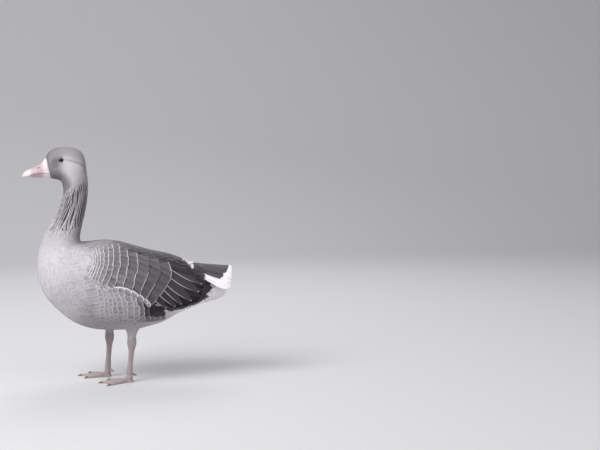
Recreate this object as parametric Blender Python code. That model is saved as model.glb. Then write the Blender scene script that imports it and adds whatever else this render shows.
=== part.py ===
"""A standing domestic goose at life size, parted where a person would name its parts: bill, head,
eyes, neck, breast, trunk, rump, tail, wings, legs, feet and claws.

Metres, +Z up. The bird faces -X and its left side is -Y. Sizes below are in millimetres, measured from
the middle plane and from a point on the floor a little behind the breast, and the empty "goose" moves
the whole bird over the origin."""

import math

import bmesh
import bpy
from mathutils import Vector
from mathutils.bvhtree import BVHTree

MM = 0.001
CUT = 0.3  # gap between neighbouring solids
CORNER_CUT = 0.5  # moves a square corner far enough to leave that gap on each face
SIDES = {"left": -1, "right": 1}

# The body's outline, as slanted sections from the bill's base to the tail: name, the point on the back
# and the point on the front, each (x, z), the half width, and the widest level, from 0 at the front
# point to 1 at the back point.
SECTIONS = [
    ("bill_base", (-204, 593), (-194, 539), 18.5, 0.44),
    ("forehead", (-196, 608), (-187, 538), 23, 0.44),
    ("brow", (-180, 617), (-176, 536), 26.5, 0.44),
    ("eye", (-160, 620), (-166, 532), 29, 0.44),
    ("crown", (-139, 619), (-162, 524), 30.5, 0.45),
    ("hind_crown", (-121, 614), (-160, 511), 30.5, 0.47),
    ("occiput", (-107, 599), (-160, 500), 29.5, 0.5),
    ("nape", (-101, 568), (-162, 490), 28, 0.5),
    ("neck_1", (-98, 534), (-164, 485), 27, 0.5),
    ("neck_2", (-98, 502), (-168, 474), 28, 0.5),
    ("neck_3", (-102, 468), (-178, 448), 33, 0.5),
    ("neck_4", (-110, 434), (-194, 418), 43, 0.5),
    ("neck_5", (-116, 410), (-205, 400), 54, 0.5),
    ("shoulder", (-119, 392), (-216, 381), 66, 0.5),
    ("breast_1", (-120, 378), (-225, 357), 78.5, 0.48),
    ("breast_2", (-117, 372), (-230, 331), 89, 0.47),
    ("breast_3", (-109, 371), (-231, 299), 98, 0.46),
    ("breast_4", (-99, 372), (-224, 262), 104.5, 0.46),
    ("breast_5", (-86, 373), (-207, 225), 110, 0.46),
    ("wing_root", (-67, 375), (-176, 190), 113, 0.47),
    ("keel", (-46, 376), (-138, 160), 114.5, 0.48),
    ("belly_1", (-20, 371), (-96, 143), 114.5, 0.48),
    ("belly_2", (11, 360), (-54, 137), 113, 0.48),
    ("belly_3", (43, 349), (-12, 136), 110, 0.48),
    ("belly_4", (75, 340), (28, 137), 103.5, 0.48),
    ("vent_1", (107, 333), (62, 144), 94, 0.48),
    ("vent_2", (134, 324), (95, 153), 81, 0.48),
    ("rump", (156, 315), (132, 172), 67, 0.5),
    ("tail_root", (177, 307), (170, 188), 53, 0.5),
    ("coverts_1", (198, 303), (207, 200), 43, 0.5),
    ("coverts_2", (224, 299), (236, 206), 37, 0.5),
    ("coverts_3", (248, 295), (258, 214), 29, 0.5),
    ("coverts_4", (264, 288), (269, 229), 20, 0.5),
    ("coverts_5", (273, 277), (275, 247), 9, 0.5),
]
AT = {row[0]: place for place, row in enumerate(SECTIONS)}
SECTION_ROWS = [(*back, *front, half, level) for _, back, front, half, level in SECTIONS]
SECTION_POWER = 2.1  # 2 is an ellipse, and more is squarer

# Lengths of the body that are one solid each: first section, last section, rings for each section,
# points around, colour.
BODY_PARTS = {
    "head": ("bill_base", "nape", 2, 24, "head"),
    "neck_upper": ("nape", "neck_3", 2, 24, "neck"),
    "neck_lower": ("neck_3", "shoulder", 2, 24, "neck"),
    "breast": ("shoulder", "wing_root", 2, 36, "breast"),
    "trunk": ("wing_root", "vent_2", 2, 36, "trunk"),
    "rump": ("vent_2", "coverts_5", 1, 36, "white"),
}

# The folded wing, as ribs across it from front to tip: top (x, z), bottom (x, z).
WING_RIBS = [
    ((-101, 343), (-109, 304)),
    ((-80, 359), (-94, 284)),
    ((-46, 364), (-68, 267)),
    ((-12, 362), (-32, 256)),
    ((26, 351), (4, 243)),
    ((68, 333), (32, 229)),
    ((106, 316), (56, 215)),
    ((136, 302), (90, 201)),
    ((162, 287), (128, 194)),
    ((183, 270), (160, 197)),
    ((199, 252), (187, 214)),
]
WING_PARTS = {"wing": (0, 6, "wing"), "flight": (6, 10, "flight")}
WING_STEPS = 2
WING_ACROSS = 8
WING_EDGE = 1.3   # how far the wing's rim stands out of the body's outline
WING_RISE = 1.6   # and how much more its middle does
WING_BED = 8.0    # depth of the hollow in the trunk that the wing lies in
BED_SLOPE = 30.0  # how far in from its rim that hollow reaches its depth
WING_ROOT_DEPTH = 16.0
WING_GAP = 0.01   # share of the space between two ribs that parts the wing from its flight feathers
BODY_AXIS_Z = 252.0
OUTSIDE = 400.0   # farther from the body's axis than any of its points
OUTLINE_AROUND = 72

# The tail: x, height of its ridge, half width, droop of its edge, thickness.
TAIL_ROWS = [
    (176, 311.5, 40, 27, 8),
    (196, 308.5, 49, 41, 7),
    (222, 305, 56, 52, 6),
    (248, 302, 61, 60, 5),
    (268, 300, 63, 64, 3.4),
    (284, 299, 53, 50, 2.4),
]
TAIL_STEPS = 2
TAIL_ACROSS = 12
TAIL_CORNER = 9.0  # how far the tail's outer feathers end ahead of the middle ones

# The bill: culmen point and cutting edge of each section of the upper half, each (x, z), half width.
UPPER_BILL = [
    ((-203.9, 592.2), (-196.4, 551.8), 17.6),
    ((-214, 582.5), (-207, 553.3), 16.9),
    ((-224.5, 573.5), (-219.5, 553.2), 16.2),
    ((-239, 566), (-236.5, 549.6), 14.8),
    ((-251.5, 561), (-249.5, 545.8), 12.6),
    ((-260, 555), (-258.3, 544), 8.9),
    ((-264.4, 549), (-263.6, 543.6), 3.6),
]
LOWER_BILL = [
    ((-196.4, 551.8), (-194.1, 539.2), 15.6),
    ((-207, 553.3), (-206, 539.8), 14.8),
    ((-219.5, 553.2), (-219.2, 540.4), 14.0),
    ((-236.5, 549.6), (-236.2, 540.9), 12.4),
    ((-249.5, 545.8), (-249.2, 541.6), 9.8),
    ((-256.5, 544.3), (-256.2, 542.6), 5.4),
]
BILL_STEPS = 2
BILL_AROUND = 9
BILL_POWER = 1.8  # the bill's half sections, a little sharper than ellipses
NAIL_SECTION = 4
NOSTRIL_AT = (-223, 11.5, 566)
NOSTRIL_SIZE = (6, 4.5, 2.4)
NOSTRIL_AROUND = 8

EYE_RADIUS = 7.0
EYE_AROUND = 12
EYE_AT = (-166.5, 23.2, 587)

# The leg, from the ankle up: height, offset back from the ankle, offset outwards, radius fore and aft,
# radius across.
SHANK_ROWS = [
    (16.4, 0.0, 0.0, 7.4, 6.4),
    (26, 0.3, 0.6, 7.7, 6.4),
    (42, 1.6, 2.4, 6.9, 5.4),
    (62, 3.4, 4.6, 6.6, 5.2),
    (82, 5.0, 6.8, 7.2, 5.8),
    (93, 5.8, 8.0, 9.6, 7.8),
    (104, 6.2, 9.0, 12.0, 9.6),
    (113, 6.2, 9.6, 11.8, 9.2),
    (124, 6.4, 10.2, 10.4, 8.6),
]
THIGH_ROWS = [
    (124.3, 6.4, 10.2, 11.4, 9.8),
    (132, 6.8, 10.6, 13.0, 11.5),
    (142, 7.4, 11, 17.5, 16.0),
    (154, 8.5, 11, 26, 24),
    (166, 10, 11, 34, 30),
    (180, 12, 11, 36, 30),
]
SHANK_RINGS = 10
THIGH_RINGS = 6
LEG_AROUND = 12

# Each foot: where its ankle stands, (x, y), and how far it points away from the bird's own middle.
ANKLE = {"left": (3, -40), "right": (-47, 50)}
TOE_OUT = {"left": 0, "right": 16}
# Angle from the middle toe, outwards, and length from the ankle.
TOES = {"inner": (-31, 58), "middle": (0, 73), "outer": (33, 66)}
TOE_HALF_WIDTH = (6.2, 3.9)   # at the ankle, at the tip
TOE_HEIGHT = (11.0, 6.0)
TOE_BLUNT = 2.0         # how far short of the toe's tip the corners beside it end
TOE_CORNER = 0.6        # how much wider than the toe those corners are
WEB_HEIGHT = 2.6
WEB_HOLLOW = 0.2        # how far the web's edge is hollowed, as a share of its reach
WEB_ROUNDNESS = 0.7
HEEL_RADIUS = 12.0
HUB_RADIUS = 8.4
HUB_HEIGHT = 16.0
FOOT_RINGS = (0.1, 0.32, 0.58, 0.82, 1.0)
TOE_SPOKES = (-3.4, 0, 3.4)   # angles of the foot's spokes from each toe
WEB_SPOKES = (0.33, 0.67)     # their shares of the way across each web
HEEL_SPOKES = (8, 20, 45, 85)  # and their angles behind the outermost toes
CLAW_LENGTH = 9.0
CLAW_RADIUS = 2.7
CLAW_TIP = (0.6, 1.0)   # radius and height of a claw's tip
CLAW_GAP = 1.0          # from the toe's tip to the claw's root
CLAW_RAISE = 0.5        # height of the claw's root over the floor
CLAW_AROUND = 6
HIND_TOE_REACH = (13.95, 5.25)  # back and down from its root
HIND_TOE_RADIUS = (3.4, 1.6)    # at its root, at its tip
HIND_TOE_HEIGHT = 20.0
HIND_TOE_GAP = 1.8      # from the shank to its root
HIND_TOE_ANGLE = 30.0   # it points back and inwards, opposite this angle from the middle toe

COLOURS = {
    "head": ((0.33, 0.31, 0.32), 0.8),
    "neck": ((0.30, 0.28, 0.29), 0.8),
    "breast": ((0.50, 0.48, 0.50), 0.8),
    "trunk": ((0.42, 0.40, 0.42), 0.8),
    "white": ((0.78, 0.78, 0.80), 0.8),
    "wing": ((0.19, 0.18, 0.19), 0.75),
    "flight": ((0.07, 0.07, 0.08), 0.7),
    "tail": ((0.10, 0.10, 0.11), 0.7),
    "bill": ((0.80, 0.62, 0.58), 0.45),
    "nail": ((0.88, 0.82, 0.78), 0.4),
    "eye": ((0.02, 0.015, 0.015), 0.1),
    "leg": ((0.60, 0.50, 0.48), 0.6),
    "claw": ((0.30, 0.26, 0.25), 0.5),
}


def clear_scene():
    for obj in list(bpy.data.objects):
        bpy.data.objects.remove(obj)


def new_collection(name):
    collection = bpy.data.collections.new(name)
    bpy.context.scene.collection.children.link(collection)
    return collection


def new_material(name, colour, roughness):
    material = bpy.data.materials.new(name)
    material.use_nodes = True
    shader = material.node_tree.nodes["Principled BSDF"]
    shader.inputs["Base Color"].default_value = (*colour, 1)
    shader.inputs["Roughness"].default_value = roughness
    shader.inputs["Metallic"].default_value = 0
    material.diffuse_color = (*colour, 1)
    return material


def blend(a, b, t):
    return a + (b - a) * t


def ease(t):
    """0 to 1 with level ends."""
    t = min(max(t, 0), 1)
    return t * t * (3 - 2 * t)


def smooth_row(rows, place):
    """The row of numbers at a fractional place on a Catmull-Rom curve through the rows."""
    here = min(int(place), len(rows) - 2)
    t = place - here
    b = rows[here]
    c = rows[here + 1]
    a = rows[here - 1] if here > 0 else [2 * v - w for v, w in zip(b, c)]
    d = rows[here + 2] if here + 2 < len(rows) else [2 * w - v for v, w in zip(b, c)]
    row = []
    for v0, v1, v2, v3 in zip(a, b, c, d):
        slope = v2 - v0
        row.append(
            0.5 * (2 * v1 + slope * t + (2 * v0 - 5 * v1 + 4 * v2 - v3) * t**2
                   + (3 * v1 - v0 - 3 * v2 + v3) * t**3)
        )
    return row


def rounded(value, power):
    """A sine or cosine pulled towards a square corner, for a superellipse."""
    return math.copysign(abs(value) ** (2 / power), value)


def full_turn(count):
    return [2 * math.pi * k / count for k in range(count)]


def make_solid(name, points, faces, colour, collection):
    """A closed mesh object, its faces turned outwards, at the size of a real goose."""
    bm = bmesh.new()
    verts = [bm.verts.new(Vector(point) * MM) for point in points]
    for face in faces:
        bm.faces.new([verts[i] for i in face])
    bmesh.ops.recalc_face_normals(bm, faces=bm.faces)
    mesh = bpy.data.meshes.new(name)
    bm.to_mesh(mesh)
    bm.free()
    obj = bpy.data.objects.new(name, mesh)
    collection.objects.link(obj)
    obj.parent = goose
    if colour:
        mesh.materials.append(materials[colour])
    return obj


def loft_faces(levels, count):
    """Faces of a tube through rings of points, with flat ends. Its quads are split the same way each
    time, so that a cutter made from the same rings fits, and the two sides mirror each other."""
    faces = [tuple(range(count))]
    for level in range(levels - 1):
        base = level * count
        for k in range(count):
            after = (k + 1) % count
            a, b, c, d = base + k, base + after, base + count + after, base + count + k
            faces += [(a, b, c), (a, c, d)] if k < count / 2 else [(a, b, d), (b, c, d)]
    last = (levels - 1) * count
    faces.append(tuple(range(last, last + count)))
    return faces


def make_loft(name, rings, colour, collection):
    points = [point for ring in rings for point in ring]
    return make_solid(name, points, loft_faces(len(rings), len(rings[0])), colour, collection)


def make_slab(name, outer, inner, colour, collection):
    """A closed solid between two grids of points with the same rows and columns."""
    rows = len(outer)
    columns = len(outer[0])
    points = [point for grid in (outer, inner) for row in grid for point in row]
    under = rows * columns
    faces = []
    for i in range(rows - 1):
        for j in range(columns - 1):
            a = i * columns + j
            quad = (a, a + 1, a + columns + 1, a + columns)
            faces.append(quad)
            faces.append(tuple(v + under for v in quad))
    rim = [j for j in range(columns)]
    rim += [i * columns + columns - 1 for i in range(1, rows)]
    rim += [(rows - 1) * columns + j for j in range(columns - 2, -1, -1)]
    rim += [i * columns for i in range(rows - 2, 0, -1)]
    for a, b in zip(rim, rim[1:] + rim[:1]):
        faces.append((a, b, b + under, a + under))
    return make_solid(name, points, faces, colour, collection)


def cut_away(obj, cutter):
    modifier = obj.modifiers.new("cut", "BOOLEAN")
    modifier.operation = "DIFFERENCE"
    modifier.solver = "EXACT"
    modifier.object = cutter
    cutter.hide_render = True


# The body

def wing_outline():
    ribs = [(*top, *bottom) for top, bottom in WING_RIBS]
    count = 4 * (len(ribs) - 1)
    rows = [smooth_row(ribs, k * (len(ribs) - 1) / count) for k in range(count + 1)]
    return [(row[0], row[1]) for row in rows] + [(row[2], row[3]) for row in reversed(rows)]


def depth_inside(outline, x, z):
    """How far a point lies inside an outline in the (x, z) plane, or 0 outside it."""
    inside = False
    nearest = math.inf
    for (ax, az), (bx, bz) in zip(outline, outline[1:] + outline[:1]):
        if (az > z) != (bz > z) and x < ax + (z - az) / (bz - az) * (bx - ax):
            inside = not inside
        length = (bx - ax) ** 2 + (bz - az) ** 2
        t = min(max(((x - ax) * (bx - ax) + (z - az) * (bz - az)) / length, 0), 1)
        nearest = min(nearest, math.hypot(x - blend(ax, bx, t), z - blend(az, bz, t)))
    return nearest if inside else 0


def section_ring(place, around, bedded=True):
    """Points around the body at a place along it, with the hollows that the wings lie in."""
    back_x, back_z, front_x, front_z, half, level = smooth_row(SECTION_ROWS, place)
    back = Vector((back_x, 0, back_z))
    front = Vector((front_x, 0, front_z))
    centre = front.lerp(back, level)
    ring = []
    for angle in full_turn(around):
        up = rounded(math.cos(angle), SECTION_POWER)
        point = centre + (back - centre) * up if up > 0 else centre + (centre - front) * up
        point.y = -half * rounded(math.sin(angle), SECTION_POWER)
        if bedded:
            bed = WING_BED * ease(depth_inside(WING_OUTLINE, point.x, point.z) / BED_SLOPE)
            point += (centre - point).normalized() * bed
        ring.append(point)
    return ring


def body_rings(first, last, steps, around, bedded=True):
    start = AT[first]
    count = (AT[last] - start) * steps
    return [section_ring(start + k / steps, around, bedded) for k in range(count + 1)]


def step_back(ring, towards):
    """A section's ring moved half a cut towards a neighbouring ring, square to its own plane."""
    across = (ring[0] - ring[len(ring) // 2]).normalized()
    normal = across.cross(Vector((0, 1, 0)))
    if normal.dot(towards[0] + towards[len(ring) // 2] - ring[0] - ring[len(ring) // 2]) < 0:
        normal.negate()
    return [point + normal * CUT / 2 for point in ring]


def make_body():
    for name, (first, last, steps, around, colour) in BODY_PARTS.items():
        rings = body_rings(first, last, steps, around)
        rings[0] = step_back(rings[0], rings[1])
        rings[-1] = step_back(rings[-1], rings[-2])
        make_loft(name, rings, colour, parts)


def grow(obj, amount):
    """Moves the object's points out of it, so that it cuts a little more than its own shape."""
    normals = [vertex.normal.copy() for vertex in obj.data.vertices]
    for vertex, normal in zip(obj.data.vertices, normals):
        vertex.co += normal * amount * MM


def make_body_cutter():
    """The breast, trunk and rump in one, a cut's width larger, which shapes what lies on them."""
    rings = []
    for name in ("breast", "trunk", "rump"):
        first, last, steps, around, _ = BODY_PARTS[name]
        rings += body_rings(first, last, steps, around)[1 if rings else 0:]
    cutter = make_loft("body_cutter", rings, None, cutters)
    grow(cutter, CUT)
    return cutter


# The wings

def outline_tree():
    """The body's full outline, without the hollows for the wings, for casting rays at."""
    rings = body_rings("shoulder", "coverts_5", 2, OUTLINE_AROUND, bedded=False)
    points = [point for ring in rings for point in ring]
    return BVHTree.FromPolygons(points, loft_faces(len(rings), len(rings[0])))


def side_angle(x, z):
    """Angle round the body's axis, from straight up, of the outline's point seen from the side."""
    hit = body_tree.ray_cast(Vector((x, -OUTSIDE, z)), Vector((0, 1, 0)))[0]
    return math.atan2(-hit.y, z - BODY_AXIS_Z)


def outline_point(x, angle, side, lift):
    """A point at an angle round the body's axis, lifted off the body's outline."""
    out = Vector((0, side * math.sin(angle), math.cos(angle)))
    axis = Vector((x, 0, BODY_AXIS_Z))
    hit = body_tree.ray_cast(axis + out * OUTSIDE, -out)[0]
    return hit + out * lift


def wing_grids(first, last, side):
    ribs = [(top[0], side_angle(*top), bottom[0], side_angle(*bottom)) for top, bottom in WING_RIBS]
    outer = []
    inner = []
    end = len(WING_RIBS) - 1
    count = (last - first) * WING_STEPS
    for i in range(count + 1):
        place = first + i / WING_STEPS
        if i == 0 and first > 0:
            place += WING_GAP
        if i == count and last < end:
            place -= WING_GAP
        top_x, top_angle, bottom_x, bottom_angle = smooth_row(ribs, place)
        outer_row = []
        inner_row = []
        for j in range(WING_ACROSS + 1):
            across = j / WING_ACROSS
            x = blend(top_x, bottom_x, across)
            angle = blend(top_angle, bottom_angle, across)
            bulge = math.sin(math.pi * across) * math.sin(math.pi * min(place / end, 1)) ** 0.5
            outer_row.append(outline_point(x, angle, side, WING_EDGE + WING_RISE * bulge))
            inner_row.append(outline_point(x, angle, side, -WING_ROOT_DEPTH))
        outer.append(outer_row)
        inner.append(inner_row)
    return outer, inner


def make_wings(cutter):
    """The folded wings, and cutters that take their rear ends out of the tail beneath."""
    tip_cutters = []
    for side_name, side in SIDES.items():
        for part, (first, last, colour) in WING_PARTS.items():
            outer, inner = wing_grids(first, last, side)
            wing = make_slab(f"{part}_{side_name}", outer, inner, colour, parts)
            cut_away(wing, cutter)
            if part == "flight":
                tip_cutter = make_slab(f"tip_cutter_{side_name}", outer, inner, None, cutters)
                grow(tip_cutter, CORNER_CUT)
                tip_cutters.append(tip_cutter)
    return tip_cutters


# The tail

def make_tail(tail_cutters):
    outer = []
    inner = []
    count = (len(TAIL_ROWS) - 1) * TAIL_STEPS
    for i in range(count + 1):
        x, ridge, half, droop, thick = smooth_row(TAIL_ROWS, i / TAIL_STEPS)
        outer_row = []
        inner_row = []
        for j in range(TAIL_ACROSS + 1):
            across = 2 * j / TAIL_ACROSS - 1
            swept = x - TAIL_CORNER * across**2 * i / count
            normal = Vector((0, 2 * droop * across / half, 1)).normalized()
            top = Vector((swept, half * across, ridge - droop * across**2))
            outer_row.append(top)
            inner_row.append(top - normal * thick * (1 - 0.5 * across**2))
        outer.append(outer_row)
        inner.append(inner_row)
    tail = make_slab("tail", outer, inner, "tail", parts)
    for cutter in tail_cutters:
        cut_away(tail, cutter)


# The bill and the eyes

def bill_ring(row, domed_up):
    """A half-round section of the bill over its flat side, where the halves meet."""
    ridge_x, ridge_z, edge_x, edge_z, half = row
    ridge = Vector((ridge_x, 0, ridge_z))
    edge = Vector((edge_x, 0, edge_z + (CUT if domed_up else -CUT) / 2))
    ring = []
    for k in range(BILL_AROUND):
        angle = math.pi * k / (BILL_AROUND - 1)
        rise = rounded(math.sin(angle), BILL_POWER)
        point = edge + (ridge - edge) * rise
        point.y = half * rounded(math.cos(angle), BILL_POWER)
        ring.append(point)
    return ring


def bill_rings(rows, first, last, domed_up):
    flat = [(*ridge, *edge, half) if domed_up else (*edge, *ridge, half) for ridge, edge, half in rows]
    count = (last - first) * BILL_STEPS
    return [bill_ring(smooth_row(flat, first + k / BILL_STEPS), domed_up) for k in range(count + 1)]


def shifted(ring, x):
    return [point + Vector((x, 0, 0)) for point in ring]


def make_bill():
    upper = bill_rings(UPPER_BILL, 0, NAIL_SECTION, True)
    upper[0] = shifted(upper[0], -CUT / 2)
    upper[-1] = shifted(upper[-1], CUT / 2)
    bill = make_loft("bill_upper", upper, "bill", parts)
    nail = bill_rings(UPPER_BILL, NAIL_SECTION, len(UPPER_BILL) - 1, True)
    nail[0] = shifted(nail[0], -CUT / 2)
    make_loft("bill_nail", nail, "nail", parts)
    lower = bill_rings(LOWER_BILL, 0, len(LOWER_BILL) - 1, False)
    lower[0] = shifted(lower[0], -CUT / 2)
    make_loft("bill_lower", lower, "bill", parts)
    for side_name, side in SIDES.items():
        x, y, z = NOSTRIL_AT
        centre = (x, y * side, z)
        nostril = make_ball(
            f"nostril_{side_name}", centre, NOSTRIL_SIZE, NOSTRIL_AROUND, None, cutters
        )
        cut_away(bill, nostril)


def make_ball(name, centre, radii, around, colour, collection):
    bm = bmesh.new()
    bmesh.ops.create_uvsphere(bm, u_segments=around, v_segments=around * 2 // 3, radius=1)
    for vertex in bm.verts:
        vertex.co = Vector(c * r * MM for c, r in zip(vertex.co, radii))
    mesh = bpy.data.meshes.new(name)
    bm.to_mesh(mesh)
    bm.free()
    obj = bpy.data.objects.new(name, mesh)
    obj.location = Vector(centre) * MM
    obj.parent = goose
    collection.objects.link(obj)
    if colour:
        mesh.materials.append(materials[colour])
    return obj


def make_eyes():
    x, y, z = EYE_AT
    head = bpy.data.objects["head"]
    for side_name, side in SIDES.items():
        centre = (x, y * side, z)
        make_ball(f"eye_{side_name}", centre, (EYE_RADIUS,) * 3, EYE_AROUND, "eye", parts)
        radii = (EYE_RADIUS + CUT,) * 3
        socket = make_ball(f"socket_{side_name}", centre, radii, EYE_AROUND, None, cutters)
        cut_away(head, socket)


# The legs and feet

def leg_rings(rows, side_name, count):
    side = SIDES[side_name]
    ankle_x, ankle_y = ANKLE[side_name]
    rings = []
    for k in range(count + 1):
        z, back, out, fore_aft, across = smooth_row(rows, k * (len(rows) - 1) / count)
        ring = []
        for angle in full_turn(LEG_AROUND):
            x = ankle_x + back + fore_aft * math.cos(angle)
            y = ankle_y + side * out + across * math.sin(angle)
            ring.append(Vector((x, y, z)))
        rings.append(ring)
    return rings


def toe_direction(angle, side_name):
    """Unit vector on the floor, at an angle outwards from the foot's middle toe."""
    turn = math.radians(TOE_OUT[side_name] + angle)
    return Vector((-math.cos(turn), SIDES[side_name] * math.sin(turn), 0))


def foot_reach(angle):
    """How far the foot reaches from the ankle at an angle: scalloped webs between the toes."""
    toes = sorted(TOES.values())
    if angle < toes[0][0] or angle > toes[-1][0]:
        end, length = toes[0] if angle < 0 else toes[-1]
        beside = TOE_HALF_WIDTH[1] + TOE_CORNER
        away = min(max(abs(angle - end), 0.5), 90)
        return max(min(length - TOE_BLUNT, beside / math.sin(math.radians(away))), HEEL_RADIUS)
    for (first, first_length), (last, last_length) in zip(toes, toes[1:]):
        if first <= angle <= last:
            t = (angle - first) / (last - first)
            hollow = WEB_HOLLOW * math.sin(math.pi * t) ** WEB_ROUNDNESS
            return blend(first_length, last_length, t) * (1 - hollow)
    return HEEL_RADIUS


def foot_height(angle, distance):
    """Height of the foot's upper side: ridged toes over a thin web."""
    height = WEB_HEIGHT
    for toe_angle, length in TOES.values():
        apart = math.radians(angle - toe_angle)
        if math.cos(apart) <= 0:
            continue
        along = distance / length
        aside = distance * abs(math.sin(apart)) / blend(*TOE_HALF_WIDTH, along)
        if aside < 1:
            height = max(height, blend(*TOE_HEIGHT, along) * math.sqrt(1 - aside**2))
    return height


def foot_angles():
    """Angles of the foot's spokes: on and beside each toe, across the webs and round the heel."""
    toes = sorted(angle for angle, _ in TOES.values())
    angles = [angle + offset for angle in toes for offset in TOE_SPOKES]
    for first, last in zip(toes, toes[1:]):
        angles += [blend(first, last, t) for t in WEB_SPOKES]
    angles += [toes[0] - offset for offset in HEEL_SPOKES]
    angles += [toes[-1] + offset for offset in HEEL_SPOKES]
    return sorted([*angles, 180])


def make_foot(side_name):
    angles = foot_angles()
    centre = Vector((*ANKLE[side_name], 0))
    rings = [[(HUB_RADIUS, HUB_HEIGHT)] * len(angles)]
    for part in FOOT_RINGS:
        ring = []
        for angle in angles:
            distance = blend(HUB_RADIUS, foot_reach(angle), part)
            ring.append((distance, foot_height(angle, distance)))
        rings.append(ring)
    rings.append([(distance, 0) for distance, _ in rings[-1]])
    placed = [
        [centre + toe_direction(angle, side_name) * distance + Vector((0, 0, height))
         for angle, (distance, height) in zip(angles, ring)]
        for ring in rings
    ]
    make_loft(f"foot_{side_name}", placed, "leg", parts)


def make_cone(name, base, tip, radius, tip_radius, colour):
    """A blunt, slightly bulging cone from one point to another."""
    turns = full_turn(CLAW_AROUND)
    along = (tip - base).normalized()
    across = along.cross(Vector((0, 0, 1))).normalized()
    up = across.cross(along)
    rings = []
    for t in (0, 0.5, 1):
        size = blend(radius, tip_radius, t**1.5)
        middle = base.lerp(tip, t)
        rings.append([middle + (across * math.cos(a) + up * math.sin(a)) * size for a in turns])
    make_loft(name, rings, colour, parts)


def make_claws(side_name):
    centre = Vector((*ANKLE[side_name], 0))
    tip_radius, tip_height = CLAW_TIP
    for toe, (angle, length) in TOES.items():
        along = toe_direction(angle, side_name)
        base = centre + along * (length + CLAW_GAP) + Vector((0, 0, CLAW_RADIUS + CLAW_RAISE))
        tip = centre + along * (length + CLAW_LENGTH) + Vector((0, 0, tip_height))
        make_cone(f"claw_{toe}_{side_name}", base, tip, CLAW_RADIUS, tip_radius, "claw")


def make_hind_toe(side_name):
    """The short toe at the back of the shank, clear of the floor."""
    behind = -toe_direction(HIND_TOE_ANGLE, side_name)
    centre = Vector((*ANKLE[side_name], HIND_TOE_HEIGHT))
    base = centre + behind * (SHANK_ROWS[1][3] + HIND_TOE_GAP)
    back, down = HIND_TOE_REACH
    tip = base + behind * back - Vector((0, 0, down))
    make_cone(f"hind_toe_{side_name}", base, tip, *HIND_TOE_RADIUS, "leg")


def make_legs(cutter):
    for side_name in SIDES:
        rings = leg_rings(THIGH_ROWS, side_name, THIGH_RINGS)
        thigh = make_loft(f"thigh_{side_name}", rings, "trunk", parts)
        cut_away(thigh, cutter)
        rings = leg_rings(SHANK_ROWS, side_name, SHANK_RINGS)
        make_loft(f"shank_{side_name}", rings, "leg", parts)
        make_foot(side_name)
        make_claws(side_name)
        make_hind_toe(side_name)


def stand_over_origin():
    """Moves the whole bird so that the middle of its box is over the origin, feet on the floor."""
    bpy.context.view_layer.update()
    corners = [obj.matrix_world @ Vector(corner) for obj in parts.objects for corner in obj.bound_box]
    for axis in (0, 1):
        values = [corner[axis] for corner in corners]
        goose.location[axis] = -(min(values) + max(values)) / 2


clear_scene()
parts = new_collection("domestic_goose")
cutters = new_collection("cutters")
goose = bpy.data.objects.new("goose", None)
bpy.context.scene.collection.objects.link(goose)
materials = {name: new_material(name, *look) for name, look in COLOURS.items()}
WING_OUTLINE = wing_outline()
body_tree = outline_tree()

make_body()
body_cutter = make_body_cutter()
wing_cutters = make_wings(body_cutter)
make_tail([body_cutter, *wing_cutters])
make_bill()
make_eyes()
make_legs(body_cutter)
stand_over_origin()
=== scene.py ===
"""The looks of a standing domestic goose: one skin, a coat of solid feathers in tracts, a horny bill,
lidded eyes, scaly legs and claws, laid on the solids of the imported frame.

Metres, +Z up. The bird faces -X and its left side is -Y. Tables are in millimetres."""

import itertools
import math
import random

import bmesh
import bpy
import numpy as np
from mathutils import Matrix, Vector
from mathutils.bvhtree import BVHTree


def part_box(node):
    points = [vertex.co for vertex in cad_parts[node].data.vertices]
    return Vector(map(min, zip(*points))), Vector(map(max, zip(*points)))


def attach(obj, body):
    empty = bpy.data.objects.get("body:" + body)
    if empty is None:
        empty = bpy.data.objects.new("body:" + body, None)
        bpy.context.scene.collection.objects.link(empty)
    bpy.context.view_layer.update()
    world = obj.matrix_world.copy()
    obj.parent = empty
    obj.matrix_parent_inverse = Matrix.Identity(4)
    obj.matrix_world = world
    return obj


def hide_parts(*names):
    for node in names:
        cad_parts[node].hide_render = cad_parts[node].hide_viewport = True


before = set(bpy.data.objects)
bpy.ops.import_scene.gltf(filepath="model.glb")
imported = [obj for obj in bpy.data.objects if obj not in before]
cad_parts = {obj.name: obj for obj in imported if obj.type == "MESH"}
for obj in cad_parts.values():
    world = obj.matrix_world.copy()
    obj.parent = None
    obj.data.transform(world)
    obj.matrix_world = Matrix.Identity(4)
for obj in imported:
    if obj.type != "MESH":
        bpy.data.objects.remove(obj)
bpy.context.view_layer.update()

MM = 0.001
SIDES = {"left": -1, "right": 1}

# --- The bird's own map: slanted sections along it, as (back x, back z), (front x, front z). A place along
# the bird is a number of sections, and its rows of feathers run square to them.

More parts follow.
